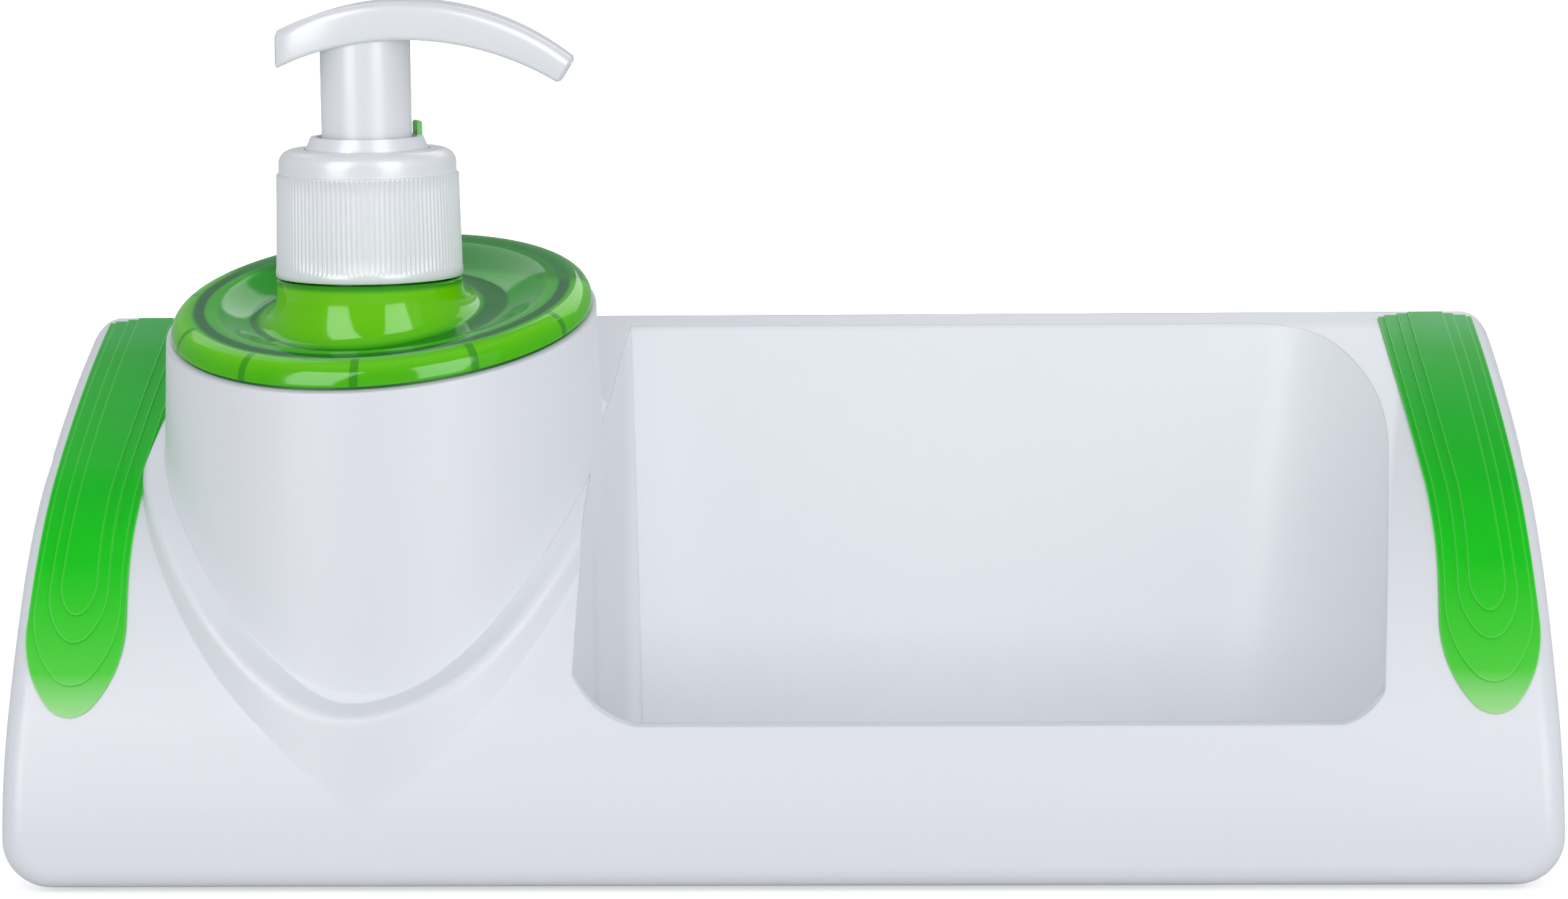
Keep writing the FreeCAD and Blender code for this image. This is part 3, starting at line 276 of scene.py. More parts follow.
@dataclass(frozen=True)
class Finish:
    """One finish: two near shades in soft patches, uneven gloss and a fine moulded skin."""

    name: str
    colour: Colour
    shade: Colour
    patch: float = 0.02
    roughness: float = 0.2
    gloss_spread: float = 0.05
    grain: float = 0.0009
    relief: float = 0.00002
    metallic: float = 0.0
    transmission: float = 0.0
    subsurface: float = 0.0
    scatter: float = 0.002
    ior: float = 1.49
    specular: float = 0.5
    coat: float = 0.0
    soft_edge: float = 0.0
    gloss_patch_share: float = 0.6
    bump: float = 0.5

    def shades(self, graph: Graph) -> Wire:
        """Returns the colour over the surface."""
        return graph.blend(graph.noise(self.patch), self.colour, self.shade)

    def make(self) -> bpy.types.Material:
        """Builds the material: the shades, a roughness that wanders by its spread, and a fine bump.

        Returns:
            The material.
        """
        graph = Graph(self.name)
        wander = graph.noise(self.patch * self.gloss_patch_share) * (2.0 * self.gloss_spread)
        gloss = wander + (self.roughness - self.gloss_spread)
        relief = {"Strength": self.bump, "Distance": self.relief, "Height": graph.noise(self.grain)}
        if self.soft_edge > 0.0:
            relief["Normal"] = graph.rounded_normal(self.soft_edge)
        skin = graph.node("ShaderNodeBump", None, relief)
        inputs = {
            "Base Color": self.shades(graph),
            "Roughness": gloss.clipped(),
            "Metallic": self.metallic,
            "IOR": self.ior,
            "Specular IOR Level": self.specular,
            "Transmission Weight": self.transmission,
            "Subsurface Weight": self.subsurface,
            "Subsurface Scale": self.scatter,
            "Coat Weight": self.coat,
            "Normal": skin,
        }
        return graph.finish(graph.node("ShaderNodeBsdfPrincipled", None, inputs))


@dataclass(frozen=True)
class BodyFinish(Finish):
    """The moulding's white, with painted light: a paler white on the walls inside the sponge bin.

    The limits are metres. The bin's right wall runs a little askew, so it is given by where it crosses Y = 0
    and by how far it runs to the right for each metre to the back. The tower's side gets no painted light.
    """

    # Painted light: the paler white inside the bin.
    inside: Colour = (0.88, 0.905, 0.93)
    left: float = -0.0282
    right: float = 0.1041
    right_skew: float = 0.17
    front: float = -0.0385
    back: float = 0.0415
    top: float = 0.0835
    soft: float = 0.0012

    def shades(self, graph: Graph) -> Wire:
        """Mixes the colour: the painted light, a paler white inside the bin's five limits, and the plain
        shades elsewhere.

        Args:
            graph: the material's graph.

        Returns:
            The colour over the surface.
        """
        across, deep, up = (graph.along(axis) for axis in "XYZ")
        from_right = deep * self.right_skew + self.right - across
        # Painted light: a soft mask of the bin's inside.
        painted_bin_light_mask = across.climb(self.left - self.soft, self.left) * from_right.climb(-self.soft, 0.0)
        painted_bin_light_mask = painted_bin_light_mask * deep.climb(self.front - self.soft, self.front)
        painted_bin_light_mask = painted_bin_light_mask * (1.0 - deep.climb(self.back, self.back + self.soft))
        painted_bin_light_mask = painted_bin_light_mask * (1.0 - up.climb(self.top - self.soft, self.top))
        return graph.blend(painted_bin_light_mask, super().shades(graph), self.inside)


@dataclass(frozen=True)
class GripFinish(Finish):
    """The strips' green: deeper at the top, lime at the thin tip, with painted highlights along the terraces'
    edges.

    Heights and reaches are metres. The shares are parts of the height from low to high.
    """

    tip: Colour = (0.1, 0.66, 0.05)
    top: Colour = (0.0, 0.36, 0.02)
    # The painted highlight's colour along the terraces' edges.
    rim: Colour = (0.12, 0.74, 0.1)
    thin: Colour = (0.5, 0.8, 0.42)
    # The colour of pale cloudy streaks along the top.
    pale_streaks: Colour = (0.22, 0.62, 0.32)
    low: float = 0.028
    high: float = 0.085
    tip_share: float = 0.42
    top_share: float = 0.45
    edge_highlight_radius: float = 0.0006
    edge_highlight_gain: float = 4.0
    edge_highlight_strength: float = 0.8
    thin_reach: float = 0.0075
    thin_strength: float = 0.75
    pale_streak_reach: float = 0.005
    pale_streak_strength: float = 0.35

    def shades(self, graph: Graph) -> Wire:
        """Mixes the colour by height, from the tip over the plain shades to the top, and paints highlights
        along the edges.

        Args:
            graph: the material's graph.

        Returns:
            The colour over the surface.
        """
        tall = self.high - self.low
        near_tip = 1.0 - graph.height(self.low, self.low + self.tip_share * tall)
        near_top = graph.height(self.low + self.top_share * tall, self.high)
        green = graph.blend(near_tip, graph.blend(near_top, super().shades(graph), self.top), self.tip)
        # Painted highlights where the rounded normals leave the true ones, along the terraces' edges.
        green = graph.blend(graph.edge(self.edge_highlight_radius, self.edge_highlight_gain) * self.edge_highlight_strength, green, self.rim)
        # Pale cloudy streaks along the top of the strip.
        cloudy = graph.noise(self.pale_streak_reach) * 0.5 + 0.5
        thin = (1.0 - graph.height(self.low, self.low + self.thin_reach)) * self.thin_strength
        pale_streaks = graph.height(self.high - self.pale_streak_reach, self.high) * cloudy * self.pale_streak_strength
        return graph.blend(pale_streaks, graph.blend(thin, green, self.thin), self.pale_streaks)


@dataclass(frozen=True)
class LidFinish(Finish):
    """The lid's green with painted light and shade: bright rings where light passes through it and dark rings
    where its inner walls shade it, about two axes, and painted rib shadows in the bevel.

    The neck's rings lie about the pump's axis and the outer rings about the tower's. Radii are millimetres.
    """

    reach: float = 40.0
    # Painted light and shade about the pump's axis: bright where light passes through the neck, dark at its
    # foot.
    neck_rings: tuple[tuple[float, Colour], ...] = (
        (0.0, (0.17, 0.62, 0.0)),
        (16.0, (0.17, 0.62, 0.0)),
        (17.6, (0.12, 0.56, 0.0)),
        (19.0, (0.04, 0.42, 0.0)),
        (19.7, (0.0, 0.19, 0.015)),
        (40.0, (0.0, 0.19, 0.015)),
    )
    # Painted light and shade about the tower's axis: bright where light passes through the lid, a dark ring
    # where the plug's wall shades it, brightest in the bevel.
    outer_light_and_shade_rings: tuple[tuple[float, Colour], ...] = (
        (0.0, (0.0, 0.19, 0.015)),
        (21.2, (0.0, 0.19, 0.015)),
        (21.9, (0.01, 0.39, 0.01)),
        (27.6, (0.01, 0.37, 0.01)),
        (28.4, (0.04, 0.46, 0.015)),
        (30.0, (0.04, 0.44, 0.015)),
        (30.5, (0.0, 0.14, 0.025)),
        (31.9, (0.0, 0.15, 0.025)),
        (32.6, (0.07, 0.5, 0.0)),
        (34.4, (0.14, 0.62, 0.0)),
        (36.0, (0.07, 0.48, 0.0)),
    )
    unevenness: float = 0.5
    neck_reach: float = 20.4
    neck_soft: float = 0.4
    # Painted shadow on the neck under the collar, and the band it fills.
    painted_collar_shadow: Colour = (0.0, 0.24, 0.01)
    collar_shadow_band: float = 1.3
    collar_shadow_full_share: float = 0.4
    collar_shadow_strength: float = 0.8
    # Painted shadows of the ribs inside the lid, seen as dark streaks in the bevel.
    painted_rib_shadow: Colour = (0.0, 0.17, 0.01)
    rib_from: float = 32.6
    rib_soft: float = 0.5
    rib_half_share: float = 0.03
    rib_soft_share: float = 0.01
    rib_shadow_strength: float = 0.55

    def rings(self, graph: Graph, radius: Wire, rings: tuple[tuple[float, Colour], ...]) -> Wire:
        """Looks up the colour of a row of rings.

        Args:
            graph: the material's graph.
            radius: the radius in metres.
            rings: the radius in millimetres and the colour of each ring.

        Returns:
            The colour at that radius.
        """
        stops = [(place / self.reach, shade) for place, shade in rings]
        return graph.ramp(radius * (1.0 / (self.reach * MM)), stops)

    def shades(self, graph: Graph) -> Wire:
        """Mixes the colour from the rings of painted light and shade, the painted shadow under the collar and
        the painted rib shadows.

        The radius about an axis is the root of X squared and Y squared, a little uneven. A rib's painted
        shadow lies where the angle about the tower's axis, counted in ribs, comes near a whole number.

        Args:
            graph: the material's graph.

        Returns:
            The colour over the surface.
        """
        across, back = graph.along("X"), graph.along("Y")
        from_pump, from_tower = across - PUMP_X * MM, across - TOWER_X * MM
        uneven = (graph.noise(self.patch) - 0.5) * (self.unevenness * MM)
        near = (from_pump * from_pump + back * back).root() + uneven
        far = (from_tower * from_tower + back * back).root() + uneven
        outside = near.climb(self.neck_reach * MM, (self.neck_reach + self.neck_soft) * MM)
        neck, outer = self.rings(graph, near, self.neck_rings), self.rings(graph, far, self.outer_light_and_shade_rings)
        green = graph.blend(outside, neck, outer)
        # Painted shadow on the neck just under the collar.
        band_full = NECK_TOP - self.collar_shadow_full_share * self.collar_shadow_band
        collar_shadow_mask = graph.height((NECK_TOP - self.collar_shadow_band) * MM, band_full * MM)
        green = graph.blend(collar_shadow_mask * self.collar_shadow_strength, green, self.painted_collar_shadow)
        # Painted rib shadows: dark streaks where the ribs inside the lid shade it.
        turns = back.heading(from_tower) * (LID_RIBS / (2.0 * math.pi)) + LID_RIBS
        beside = ((turns - LID_RIBS * RIB_HEADING / 360.0).fraction() - 0.5).size()
        rib = beside.climb(0.5 - self.rib_half_share - self.rib_soft_share, 0.5 - self.rib_half_share)
        rib = rib * far.climb(self.rib_from * MM, (self.rib_from + self.rib_soft) * MM)
        return graph.blend(rib * self.rib_shadow_strength, green, self.painted_rib_shadow)


WHITE_BODY = BodyFinish(
    "white_body", (0.775, 0.79, 0.83), (0.76, 0.775, 0.82), patch=0.06, roughness=0.38, gloss_spread=0.05,
    soft_edge=0.0007, specular=0.25
)
WHITE_BASE = Finish("white_base", (0.7, 0.71, 0.75), (0.66, 0.67, 0.71), roughness=0.42, relief=0.00005)
FOOT_RUBBER = Finish("foot_rubber", (0.02, 0.02, 0.02), (0.03, 0.03, 0.03), roughness=0.7, relief=0.00008)
STRIP_GREEN = GripFinish(
    "strip_green", (0.012, 0.63, 0.012), (0.004, 0.57, 0.01), patch=0.012, roughness=0.3, subsurface=0.15,
    scatter=0.002, ior=1.4, specular=0.13
)
LID_GREEN = LidFinish(
    "lid_green", (0.2, 0.72, 0.02), (0.16, 0.66, 0.02), patch=0.012, roughness=0.09, gloss_spread=0.03,
    grain=0.004, relief=0.00003, subsurface=0.1, specular=0.25
)
# The seal's own dark green, also standing as painted shadow in the seam under the lid.
SEAL_GREEN_AND_SEAM_SHADOW = Finish("seal_green", (0.0, 0.12, 0.02), (0.0, 0.1, 0.015), patch=0.008, roughness=0.35)
PUMP_WHITE = Finish(
    "pump_white", (0.8, 0.81, 0.84), (0.78, 0.79, 0.825), patch=0.02, roughness=0.3, subsurface=0.08,
    coat=0.1, soft_edge=0.0003
)
GUIDE_WHITE = Finish("guide_white", (0.78, 0.79, 0.83), (0.76, 0.77, 0.81), patch=0.01, roughness=0.3)
GASKET_GREY = Finish("gasket_grey", (0.35, 0.36, 0.36), (0.3, 0.31, 0.31), roughness=0.8, relief=0.0001)
TAB_GREEN = Finish("tab_green", (0.05, 0.5, 0.02), (0.04, 0.42, 0.02), patch=0.002, roughness=0.2)
HOUSING_NATURAL = Finish(
    "housing_natural", (0.76, 0.77, 0.75), (0.73, 0.74, 0.72), roughness=0.4, subsurface=0.1
)
TUBE_CLEAR = Finish("tube_clear", (0.78, 0.79, 0.78), (0.74, 0.75, 0.74), roughness=0.3, transmission=0.3)
BALL_STEEL = Finish("ball_steel", (0.6, 0.6, 0.62), (0.56, 0.56, 0.58), roughness=0.1, metallic=1.0)
SPRING_STEEL = Finish("spring_steel", (0.55, 0.55, 0.57), (0.48, 0.48, 0.5), roughness=0.25, metallic=1.0)
STEM_WHITE = Finish("stem_white", (0.78, 0.79, 0.82), (0.76, 0.77, 0.8), patch=0.01, roughness=0.3)
PISTON_NATURAL = Finish("piston_natural", (0.7, 0.71, 0.68), (0.66, 0.67, 0.64), roughness=0.5)

DRESSED_NODES: dict[str, Finish] = {
    "caddy_shell": WHITE_BODY,
    "base_plate": WHITE_BASE,
    "rubber_foot_1": FOOT_RUBBER,
    "rubber_foot_2": FOOT_RUBBER,
    "rubber_foot_3": FOOT_RUBBER,
    "rubber_foot_4": FOOT_RUBBER,
    "grip_strip_left": STRIP_GREEN,
    "grip_strip_right": STRIP_GREEN,
    "lid_cover": LID_GREEN,
    "lid_seal": SEAL_GREEN_AND_SEAM_SHADOW,
    "pump_collar": PUMP_WHITE,
    "guide_ring": GUIDE_WHITE,
    "housing_gasket": GASKET_GREY,
    "lock_tab": TAB_GREEN,
    "pump_housing": HOUSING_NATURAL,
    "dip_tube": TUBE_CLEAR,
    "inlet_ball": BALL_STEEL,
    "outlet_ball": BALL_STEEL,
    "return_spring": SPRING_STEEL,
    "plunger_stem": STEM_WHITE,
    "piston_seal": PISTON_NATURAL,
    "pump_head": PUMP_WHITE,
}


@dataclass
class Wardrobe:
    """Makes each finish once and puts it on pieces."""

    made: dict[str, bpy.types.Material] = field(default_factory=dict)

    def dress(self, piece: bpy.types.Object, finish: Finish) -> None:
        """Puts a finish on a piece in place of what it wore.

        Args:
            piece: the object to dress.
            finish: the finish it gets.
        """
        if finish.name not in self.made:
            self.made[finish.name] = finish.make()
        piece.data.materials.clear()
        piece.data.materials.append(self.made[finish.name])


@dataclass(frozen=True)
class Piece:
    """A surface that takes a CAD node's place. Edges that bend more than the crease's degrees stay sharp."""

    node: str
    body: str
    crease: float = 32.0
    merge: float = 0.0005 * MM

    def mesh(self) -> bpy.types.Mesh:
        """Returns the bare surface in world coordinates."""
        raise NotImplementedError

    def build(self, wardrobe: Wardrobe) -> bpy.types.Object:
        """Smooths and dresses the surface and puts it in the node's place.

        Args:
            wardrobe: where finishes are made.

        Returns:
            The new piece.
        """
        mesh = self.mesh()
        merge_and_smooth(mesh, self.merge, math.radians(self.crease))
        piece = bpy.data.objects.new(f"{self.node}_surface", mesh)
        bpy.context.scene.collection.objects.link(piece)
        finish = DRESSED_NODES[self.node]
        wardrobe.dress(piece, finish)
        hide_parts(self.node)
        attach(piece, self.body)
        LOG.info("built %s", piece.name)
        return piece


@dataclass(frozen=True)
class SmoothedNode(Piece):
    """A CAD node's own surface with merged corners and normals that follow its curves."""

    merge: float = 0.002 * MM
    source: Optional[bpy.types.Mesh] = None
    face_weight: int = 100

    def mesh(self) -> bpy.types.Mesh:
        """Copies the node's mesh without its old normals and eases it.

        Returns:
            The copy.
        """
        mesh = self.source.copy()
        mesh.name = f"{self.node}_surface"
        if "custom_normal" in mesh.attributes:
            mesh.attributes.remove(mesh.attributes["custom_normal"])
        self.ease(mesh)
        return mesh

    def build(self, wardrobe: Wardrobe) -> bpy.types.Object:
        """Builds the piece and weights its normals by the size of the faces.

        Args:
            wardrobe: where finishes are made.

        Returns:
            The new piece.
        """
        piece = super().build(wardrobe)
        weighted = piece.modifiers.new("weighted_normals", "WEIGHTED_NORMAL")
        weighted.keep_sharp = True
        weighted.weight = self.face_weight
        return piece

    def ease(self, mesh: bpy.types.Mesh) -> None:
        """Gives the surface a softer line before it is smoothed. A plain node keeps its own."""


@dataclass(frozen=True)
class EasedStrip(SmoothedNode):
    """A grip strip whose inner side and terraces pass its waist in one soft curve. Sizes are millimetres.

    The waist is where the CAD outline has a slight kink. The inner side leans by the two bends below and
    above it. The move fades from the full share of the strip's width to the share where there is none.
    """

    waist: float = 62.0
    waist_x: float = 110.1
    bend_below: float = 0.07
    bend_above: float = -0.18
    kink: float = 0.33
    reach: float = 16.0
    cuts: int = 21
    outer_x: float = 124.4
    full_share: float = 0.4
    none_share: float = 0.6
    on_plane: float = 1e-7

    def ease(self, mesh: bpy.types.Mesh) -> None:
        """Cuts the mesh level by level round the waist and moves its inner side.

        The move is a quarter of the kink's size times the reach, times the square of one less the distance
        from the waist over the reach, which turns the kink into a curve.

        Args:
            mesh: the strip's mesh in world coordinates, which is changed.
        """
        work = bmesh.new()
        work.from_mesh(mesh)
        bmesh.ops.remove_doubles(work, verts=work.verts, dist=self.merge)
        upward = (0.0, 0.0, 1.0)
        for level in np.linspace(self.waist - self.reach, self.waist + self.reach, self.cuts):
            parts = work.verts[:] + work.edges[:] + work.faces[:]
            place = (0.0, 0.0, level * MM)
            bmesh.ops.bisect_plane(work, geom=parts, dist=self.on_plane, plane_co=place, plane_no=upward)
        bmesh.ops.triangulate(work, faces=work.faces)
        work.to_mesh(mesh)
        work.free()
        points = np.empty(len(mesh.vertices) * 3)
        mesh.vertices.foreach_get("co", points)
        points = points.reshape(-1, 3)
        side, across = np.sign(points[:, 0]), np.abs(points[:, 0]) / MM
        above = points[:, 2] / MM - self.waist
        inner = self.waist_x + above * np.where(above > 0.0, self.bend_above, self.bend_below)
        share = (across - inner) / (self.outer_x - inner)
        weight = np.clip((self.none_share - share) / (self.none_share - self.full_share), 0.0, 1.0)
        near = np.clip(1.0 - np.abs(above) / self.reach, 0.0, 1.0)
        most = self.kink * self.reach / 4.0
        points[:, 0] -= side * most * near * near * weight * MM
        mesh.vertices.foreach_set("co", points.reshape(-1))
        mesh.update()


def merge_and_smooth(mesh: bpy.types.Mesh, distance: float, crease: float) -> None:
    """Merges a mesh's loose corners, smooths its faces and marks the edges that stay sharp.

    Args:
        mesh: the mesh that is changed.
        distance: corners nearer than this become one.
        crease: edges that bend more than this stay sharp.
    """
    work = bmesh.new()
    work.from_mesh(mesh)
    bmesh.ops.remove_doubles(work, verts=work.verts, dist=distance)
    bmesh.ops.dissolve_degenerate(work, edges=work.edges, dist=distance)
    for face in work.faces:
        face.smooth = True
    for edge in work.edges:
        edge.smooth = edge.is_manifold and edge.calc_face_angle(math.pi) < crease
    work.to_mesh(mesh)
    work.free()


def mesh_from_grid(name: str, grid: np.ndarray, joined: bool = True) -> bpy.types.Mesh:
    """Makes a closed mesh of quads over rings of points.

    The faces are turned over where the sum of each face's corner times its area comes out negative.

    Args:
        name: the mesh's name.
        grid: points in metres, shaped rows x columns x 3. The last column joins the first.
        joined: whether the last row joins the first. Otherwise both end rows are single points.

    Returns:
        The mesh, with its faces turned outward.
    """
    rows, columns = grid.shape[:2]
    number = np.arange(rows * columns, dtype=np.int32).reshape(rows, columns)
    below = np.roll(number, -1, axis=0)
    quads = np.stack([number, np.roll(number, -1, axis=1), np.roll(below, -1, axis=1), below], axis=-1)
    quads = (quads if joined else quads[:-1]).reshape(-1, 4)
    points = grid.reshape(-1, 3)
    first, second, third, fourth = (points[quads[:, corner]] for corner in range(4))
    area = np.cross(second, third) + np.cross(third, fourth)
    if np.einsum("ij,ij->", first, area) < 0.0:
        quads = quads[:, ::-1]
    mesh = bpy.data.meshes.new(name)
    mesh.from_pydata(points.tolist(), [], quads.tolist())
    return mesh


def mesh_from_boxes(name: str, corners: np.ndarray) -> bpy.types.Mesh:
    """Makes a mesh of separate closed boxes.

    Args:
        name: the mesh's name.
        corners: points in metres, shaped boxes x 8 x 3, the lower four anticlockwise from above and then the
            upper four.

    Returns:
        The mesh.
    """
    sides = np.array([(3, 2, 1, 0), (4, 5, 6, 7), (0, 1, 5, 4), (1, 2, 6, 5), (2, 3, 7, 6), (3, 0, 4, 7)])
    faces = sides + 8 * np.arange(len(corners))[:, None, None]
    mesh = bpy.data.meshes.new(name)
    mesh.from_pydata(corners.reshape(-1, 3).tolist(), [], faces.reshape(-1, 4).tolist())
    return mesh


def join_meshes(name: str, parts: Sequence[bpy.types.Mesh]) -> bpy.types.Mesh:
    """Puts meshes together and removes them.

    Args:
        name: the new mesh's name.
        parts: the meshes, in order.

    Returns:
        The new mesh.
    """
    work = bmesh.new()
    for part in parts:
        work.from_mesh(part)
        bpy.data.meshes.remove(part)
    whole = bpy.data.meshes.new(name)
    work.to_mesh(whole)
    work.free()
    return whole


def full_turn(columns: int) -> np.ndarray:
    """Returns the angles of the columns of a ring, from 0 almost to a full turn."""
    return np.linspace(0.0, 2.0 * math.pi, columns, endpoint=False)


def arc_points(
    centre: tuple[float, float], size: tuple[float, float], start: float, end: float, count: int
) -> np.ndarray:
    """Lays points on an ellipse's arc: the centre plus the size times the angle's cosine and sine.

    Args:
        centre: the ellipse's centre.
        size: its half width and half height.
        start: the first angle in degrees.
        end: the last angle in degrees.
        count: how many points.

    Returns:
        The points, shaped count x 2.
    """
    turn = np.radians(np.linspace(start, end, count))
    return np.stack([centre[0] + size[0] * np.cos(turn), centre[1] + size[1] * np.sin(turn)], axis=-1)


def lathe(profile: Sequence[tuple], turn: np.ndarray, cut: Union[float, np.ndarray] = 0.0) -> np.ndarray:
    """Turns a profile about the pump's axis: X is the axis plus the radius times the cosine, and Y its sine.

    Args:
        profile: radii and heights in millimetres.
        turn: the angles of the columns.
        cut: how far the surface lies inside the profile, the same everywhere or shaped rows x columns.

    Returns:
        Points in metres, shaped rows x columns x 3.
    """
    radius, height = (np.array(values)[:, None] for values in zip(*profile))
    reach = radius - cut
    return np.stack([PUMP_X + reach * np.cos(turn), reach * np.sin(turn), height + 0.0 * turn], axis=-1) * MM


@dataclass(frozen=True)
class RimPlane:
    """The sloping plane of the tower's rim, which rises to the back and a little to the right."""

    height: float = 89.8
    slope: float = 12.2
    heading: float = 13.0

    def lift(self, x: np.ndarray, y: np.ndarray, above: float) -> np.ndarray:
        """Lays points above the plane: its height at the tower's axis, plus the slope times the way uphill.

        Args:
            x: the points' X in millimetres.
            y: the points' Y in millimetres.
            above: how far above the plane they lie.

        Returns:
            The points' heights in millimetres.
        """
        heading = math.radians(self.heading)
        climb = (x - TOWER_X) * math.sin(heading) + y * math.cos(heading)
        return self.height + above + math.tan(math.radians(self.slope)) * climb


@dataclass(frozen=True)
class LidForm(Piece):
    """The lid's surface in millimetres: bevelled edge, dished top, flared neck and ribbed plug."""

    node: str = "lid_cover"
    body: str = "lid"
    crease: float = 30.0
    columns: int = 240
    radius: float = 36.0
    foot: float = 0.6
    top: float = 4.2
    bevel: float = 3.3
    bevel_rows: int = 12
    wall: float = 2.1
    top_wall: float = 1.8
    plug_radius: float = 31.4
    plug_wall: float = 1.2
    plug_foot: float = 74.02
    dish_radius: float = 29.4
    dish_floor_radius: float = 21.0
    dish_depth: float = 2.8
    dish_rows: int = 14
    dish_ease_share: float = 0.5
    neck_radius: float = 15.9
    neck_edge: float = 0.3
    flare: float = 3.3
    flare_share: float = 0.72
    flare_rows: int = 12
    finish_radius: float = 13.3
    finish_top: float = 112.35
    bore_radius: float = 11.3
    rib_thickness: float = 1.2
    rib_reach: float = 33.8
    rib_drop: float = 5.0
    plane: RimPlane = RimPlane()

    def ring(self, axis: float, radius: float, height: Callable) -> np.ndarray:
        """Lays one ring of points: X is the axis plus the radius times the cosine, and Y its sine.

        Args:
            axis: the X of the ring's axis.
            radius: its radius.
            height: gives the heights from the X and Y of the points.

        Returns:
            The points, shaped columns x 3.
        """
        turn = full_turn(self.columns)
        x, y = axis + radius * np.cos(turn), radius * np.sin(turn)
        return np.stack([x, y, height(x, y) + 0.0 * x], axis=-1)

    def sloped(self, radius: float, above: float, axis: float = TOWER_X) -> np.ndarray:
        """Returns a ring at an even height above the rim's plane."""
        return self.ring(axis, radius, lambda x, y: self.plane.lift(x, y, above))

    def level(self, axis: float, radius: float, height: float) -> np.ndarray:
        """Returns a level ring."""
        return self.ring(axis, radius, lambda x, y: height)

    def top_rings(self) -> list[np.ndarray]:
        """Lays the rings of the outside: the bevel's quarter circle, then an eased slope down into the dish.

        Returns:
            The rings, from the edge's foot to the dish's floor.
        """
        corner = (self.radius - self.bevel, self.top - self.bevel)
        rows = [self.sloped(self.radius, self.foot)]
        for radius, above in arc_points(corner, (self.bevel, self.bevel), 0.0, 90.0, self.bevel_rows):
            rows.append(self.sloped(radius, above))
        slope = np.linspace(0.0, 1.0, self.dish_rows)
        ease = slope * slope * (3.0 - 2.0 * slope)
        drop = ease * self.dish_ease_share + slope * (1.0 - self.dish_ease_share)
        inward = self.dish_floor_radius - self.dish_radius
        for share, sunk in zip(slope, drop):
            rows.append(self.sloped(self.dish_radius + share * inward, self.top - sunk * self.dish_depth))
        return rows

    def neck_rings(self) -> list[np.ndarray]:
        """Lays the rings of the neck: a quarter ellipse up from the dish, then the finish and its mouth.

        Returns:
            The rings, from the dish's floor to the bore's top.
        """
        foot = self.sloped(self.neck_radius + self.flare, self.top - self.dish_depth, PUMP_X)
        rise = (NECK_TOP - foot[:, 2]) * self.flare_share
        rows = []
        for turn in np.linspace(0.0, 0.5 * math.pi, self.flare_rows):
            radius = self.neck_radius + self.flare * (1.0 - math.sin(turn))
            rows.append(self.level(PUMP_X, radius, foot[:, 2] + rise * (1.0 - math.cos(turn))))
        for radius, height in (
            (self.neck_radius, NECK_TOP - self.neck_edge), (self.neck_radius - self.neck_edge, NECK_TOP),
            (self.finish_radius, NECK_TOP), (self.finish_radius, self.finish_top),
            (self.bore_radius, self.finish_top),
        ):
            rows.append(self.level(PUMP_X, radius, height))
        return rows

    def under_rings(self) -> list[np.ndarray]:
        """Returns the rings of the underside, from the bore's foot round the plug to the edge's foot."""
        under, plug_bore = self.top - self.dish_depth - self.top_wall, self.plug_radius - self.plug_wall
        return [
            self.sloped(self.bore_radius, under, PUMP_X),
            self.sloped(plug_bore, under),
            self.level(TOWER_X, plug_bore, self.plug_foot),
            self.level(TOWER_X, self.plug_radius, self.plug_foot),
            self.sloped(self.plug_radius, self.top - self.top_wall),
            self.sloped(self.radius - self.wall, self.top - self.top_wall),
            self.sloped(self.radius - self.wall, self.foot),
        ]

    def rib_corners(self) -> np.ndarray:
        """Lays the corners of the ribs beside the plug, each a box that runs outward at its own angle.

        Returns:
            Points in metres, shaped ribs x 8 x 3.
        """
        turn = np.radians(RIB_HEADING + np.arange(LID_RIBS) * 360.0 / LID_RIBS)
        ahead = np.stack([np.cos(turn), np.sin(turn)], axis=-1)
        aside = np.stack([-np.sin(turn), np.cos(turn)], axis=-1) * self.rib_thickness
        inner = self.plug_radius - 0.5 * self.plug_wall
        corners = []
        for above in (-self.rib_drop, self.top - 0.5 * self.top_wall):
            for reach, side in ((inner, -0.5), (self.rib_reach, -0.5), (self.rib_reach, 0.5), (inner, 0.5)):
                flat = ahead * reach + aside * side
                x, y = TOWER_X + flat[:, 0], flat[:, 1]
                corners.append(np.stack([x, y, self.plane.lift(x, y, above)], axis=-1))
        return np.stack(corners, axis=1) * MM

    def mesh(self) -> bpy.types.Mesh:
        """Returns the turned surface with its ribs."""
        rings = np.stack(self.top_rings() + self.neck_rings() + self.under_rings()) * MM
        parts = [mesh_from_grid("lid_rings", rings), mesh_from_boxes("lid_ribs", self.rib_corners())]
        return join_meshes("lid_cover_surface", parts)


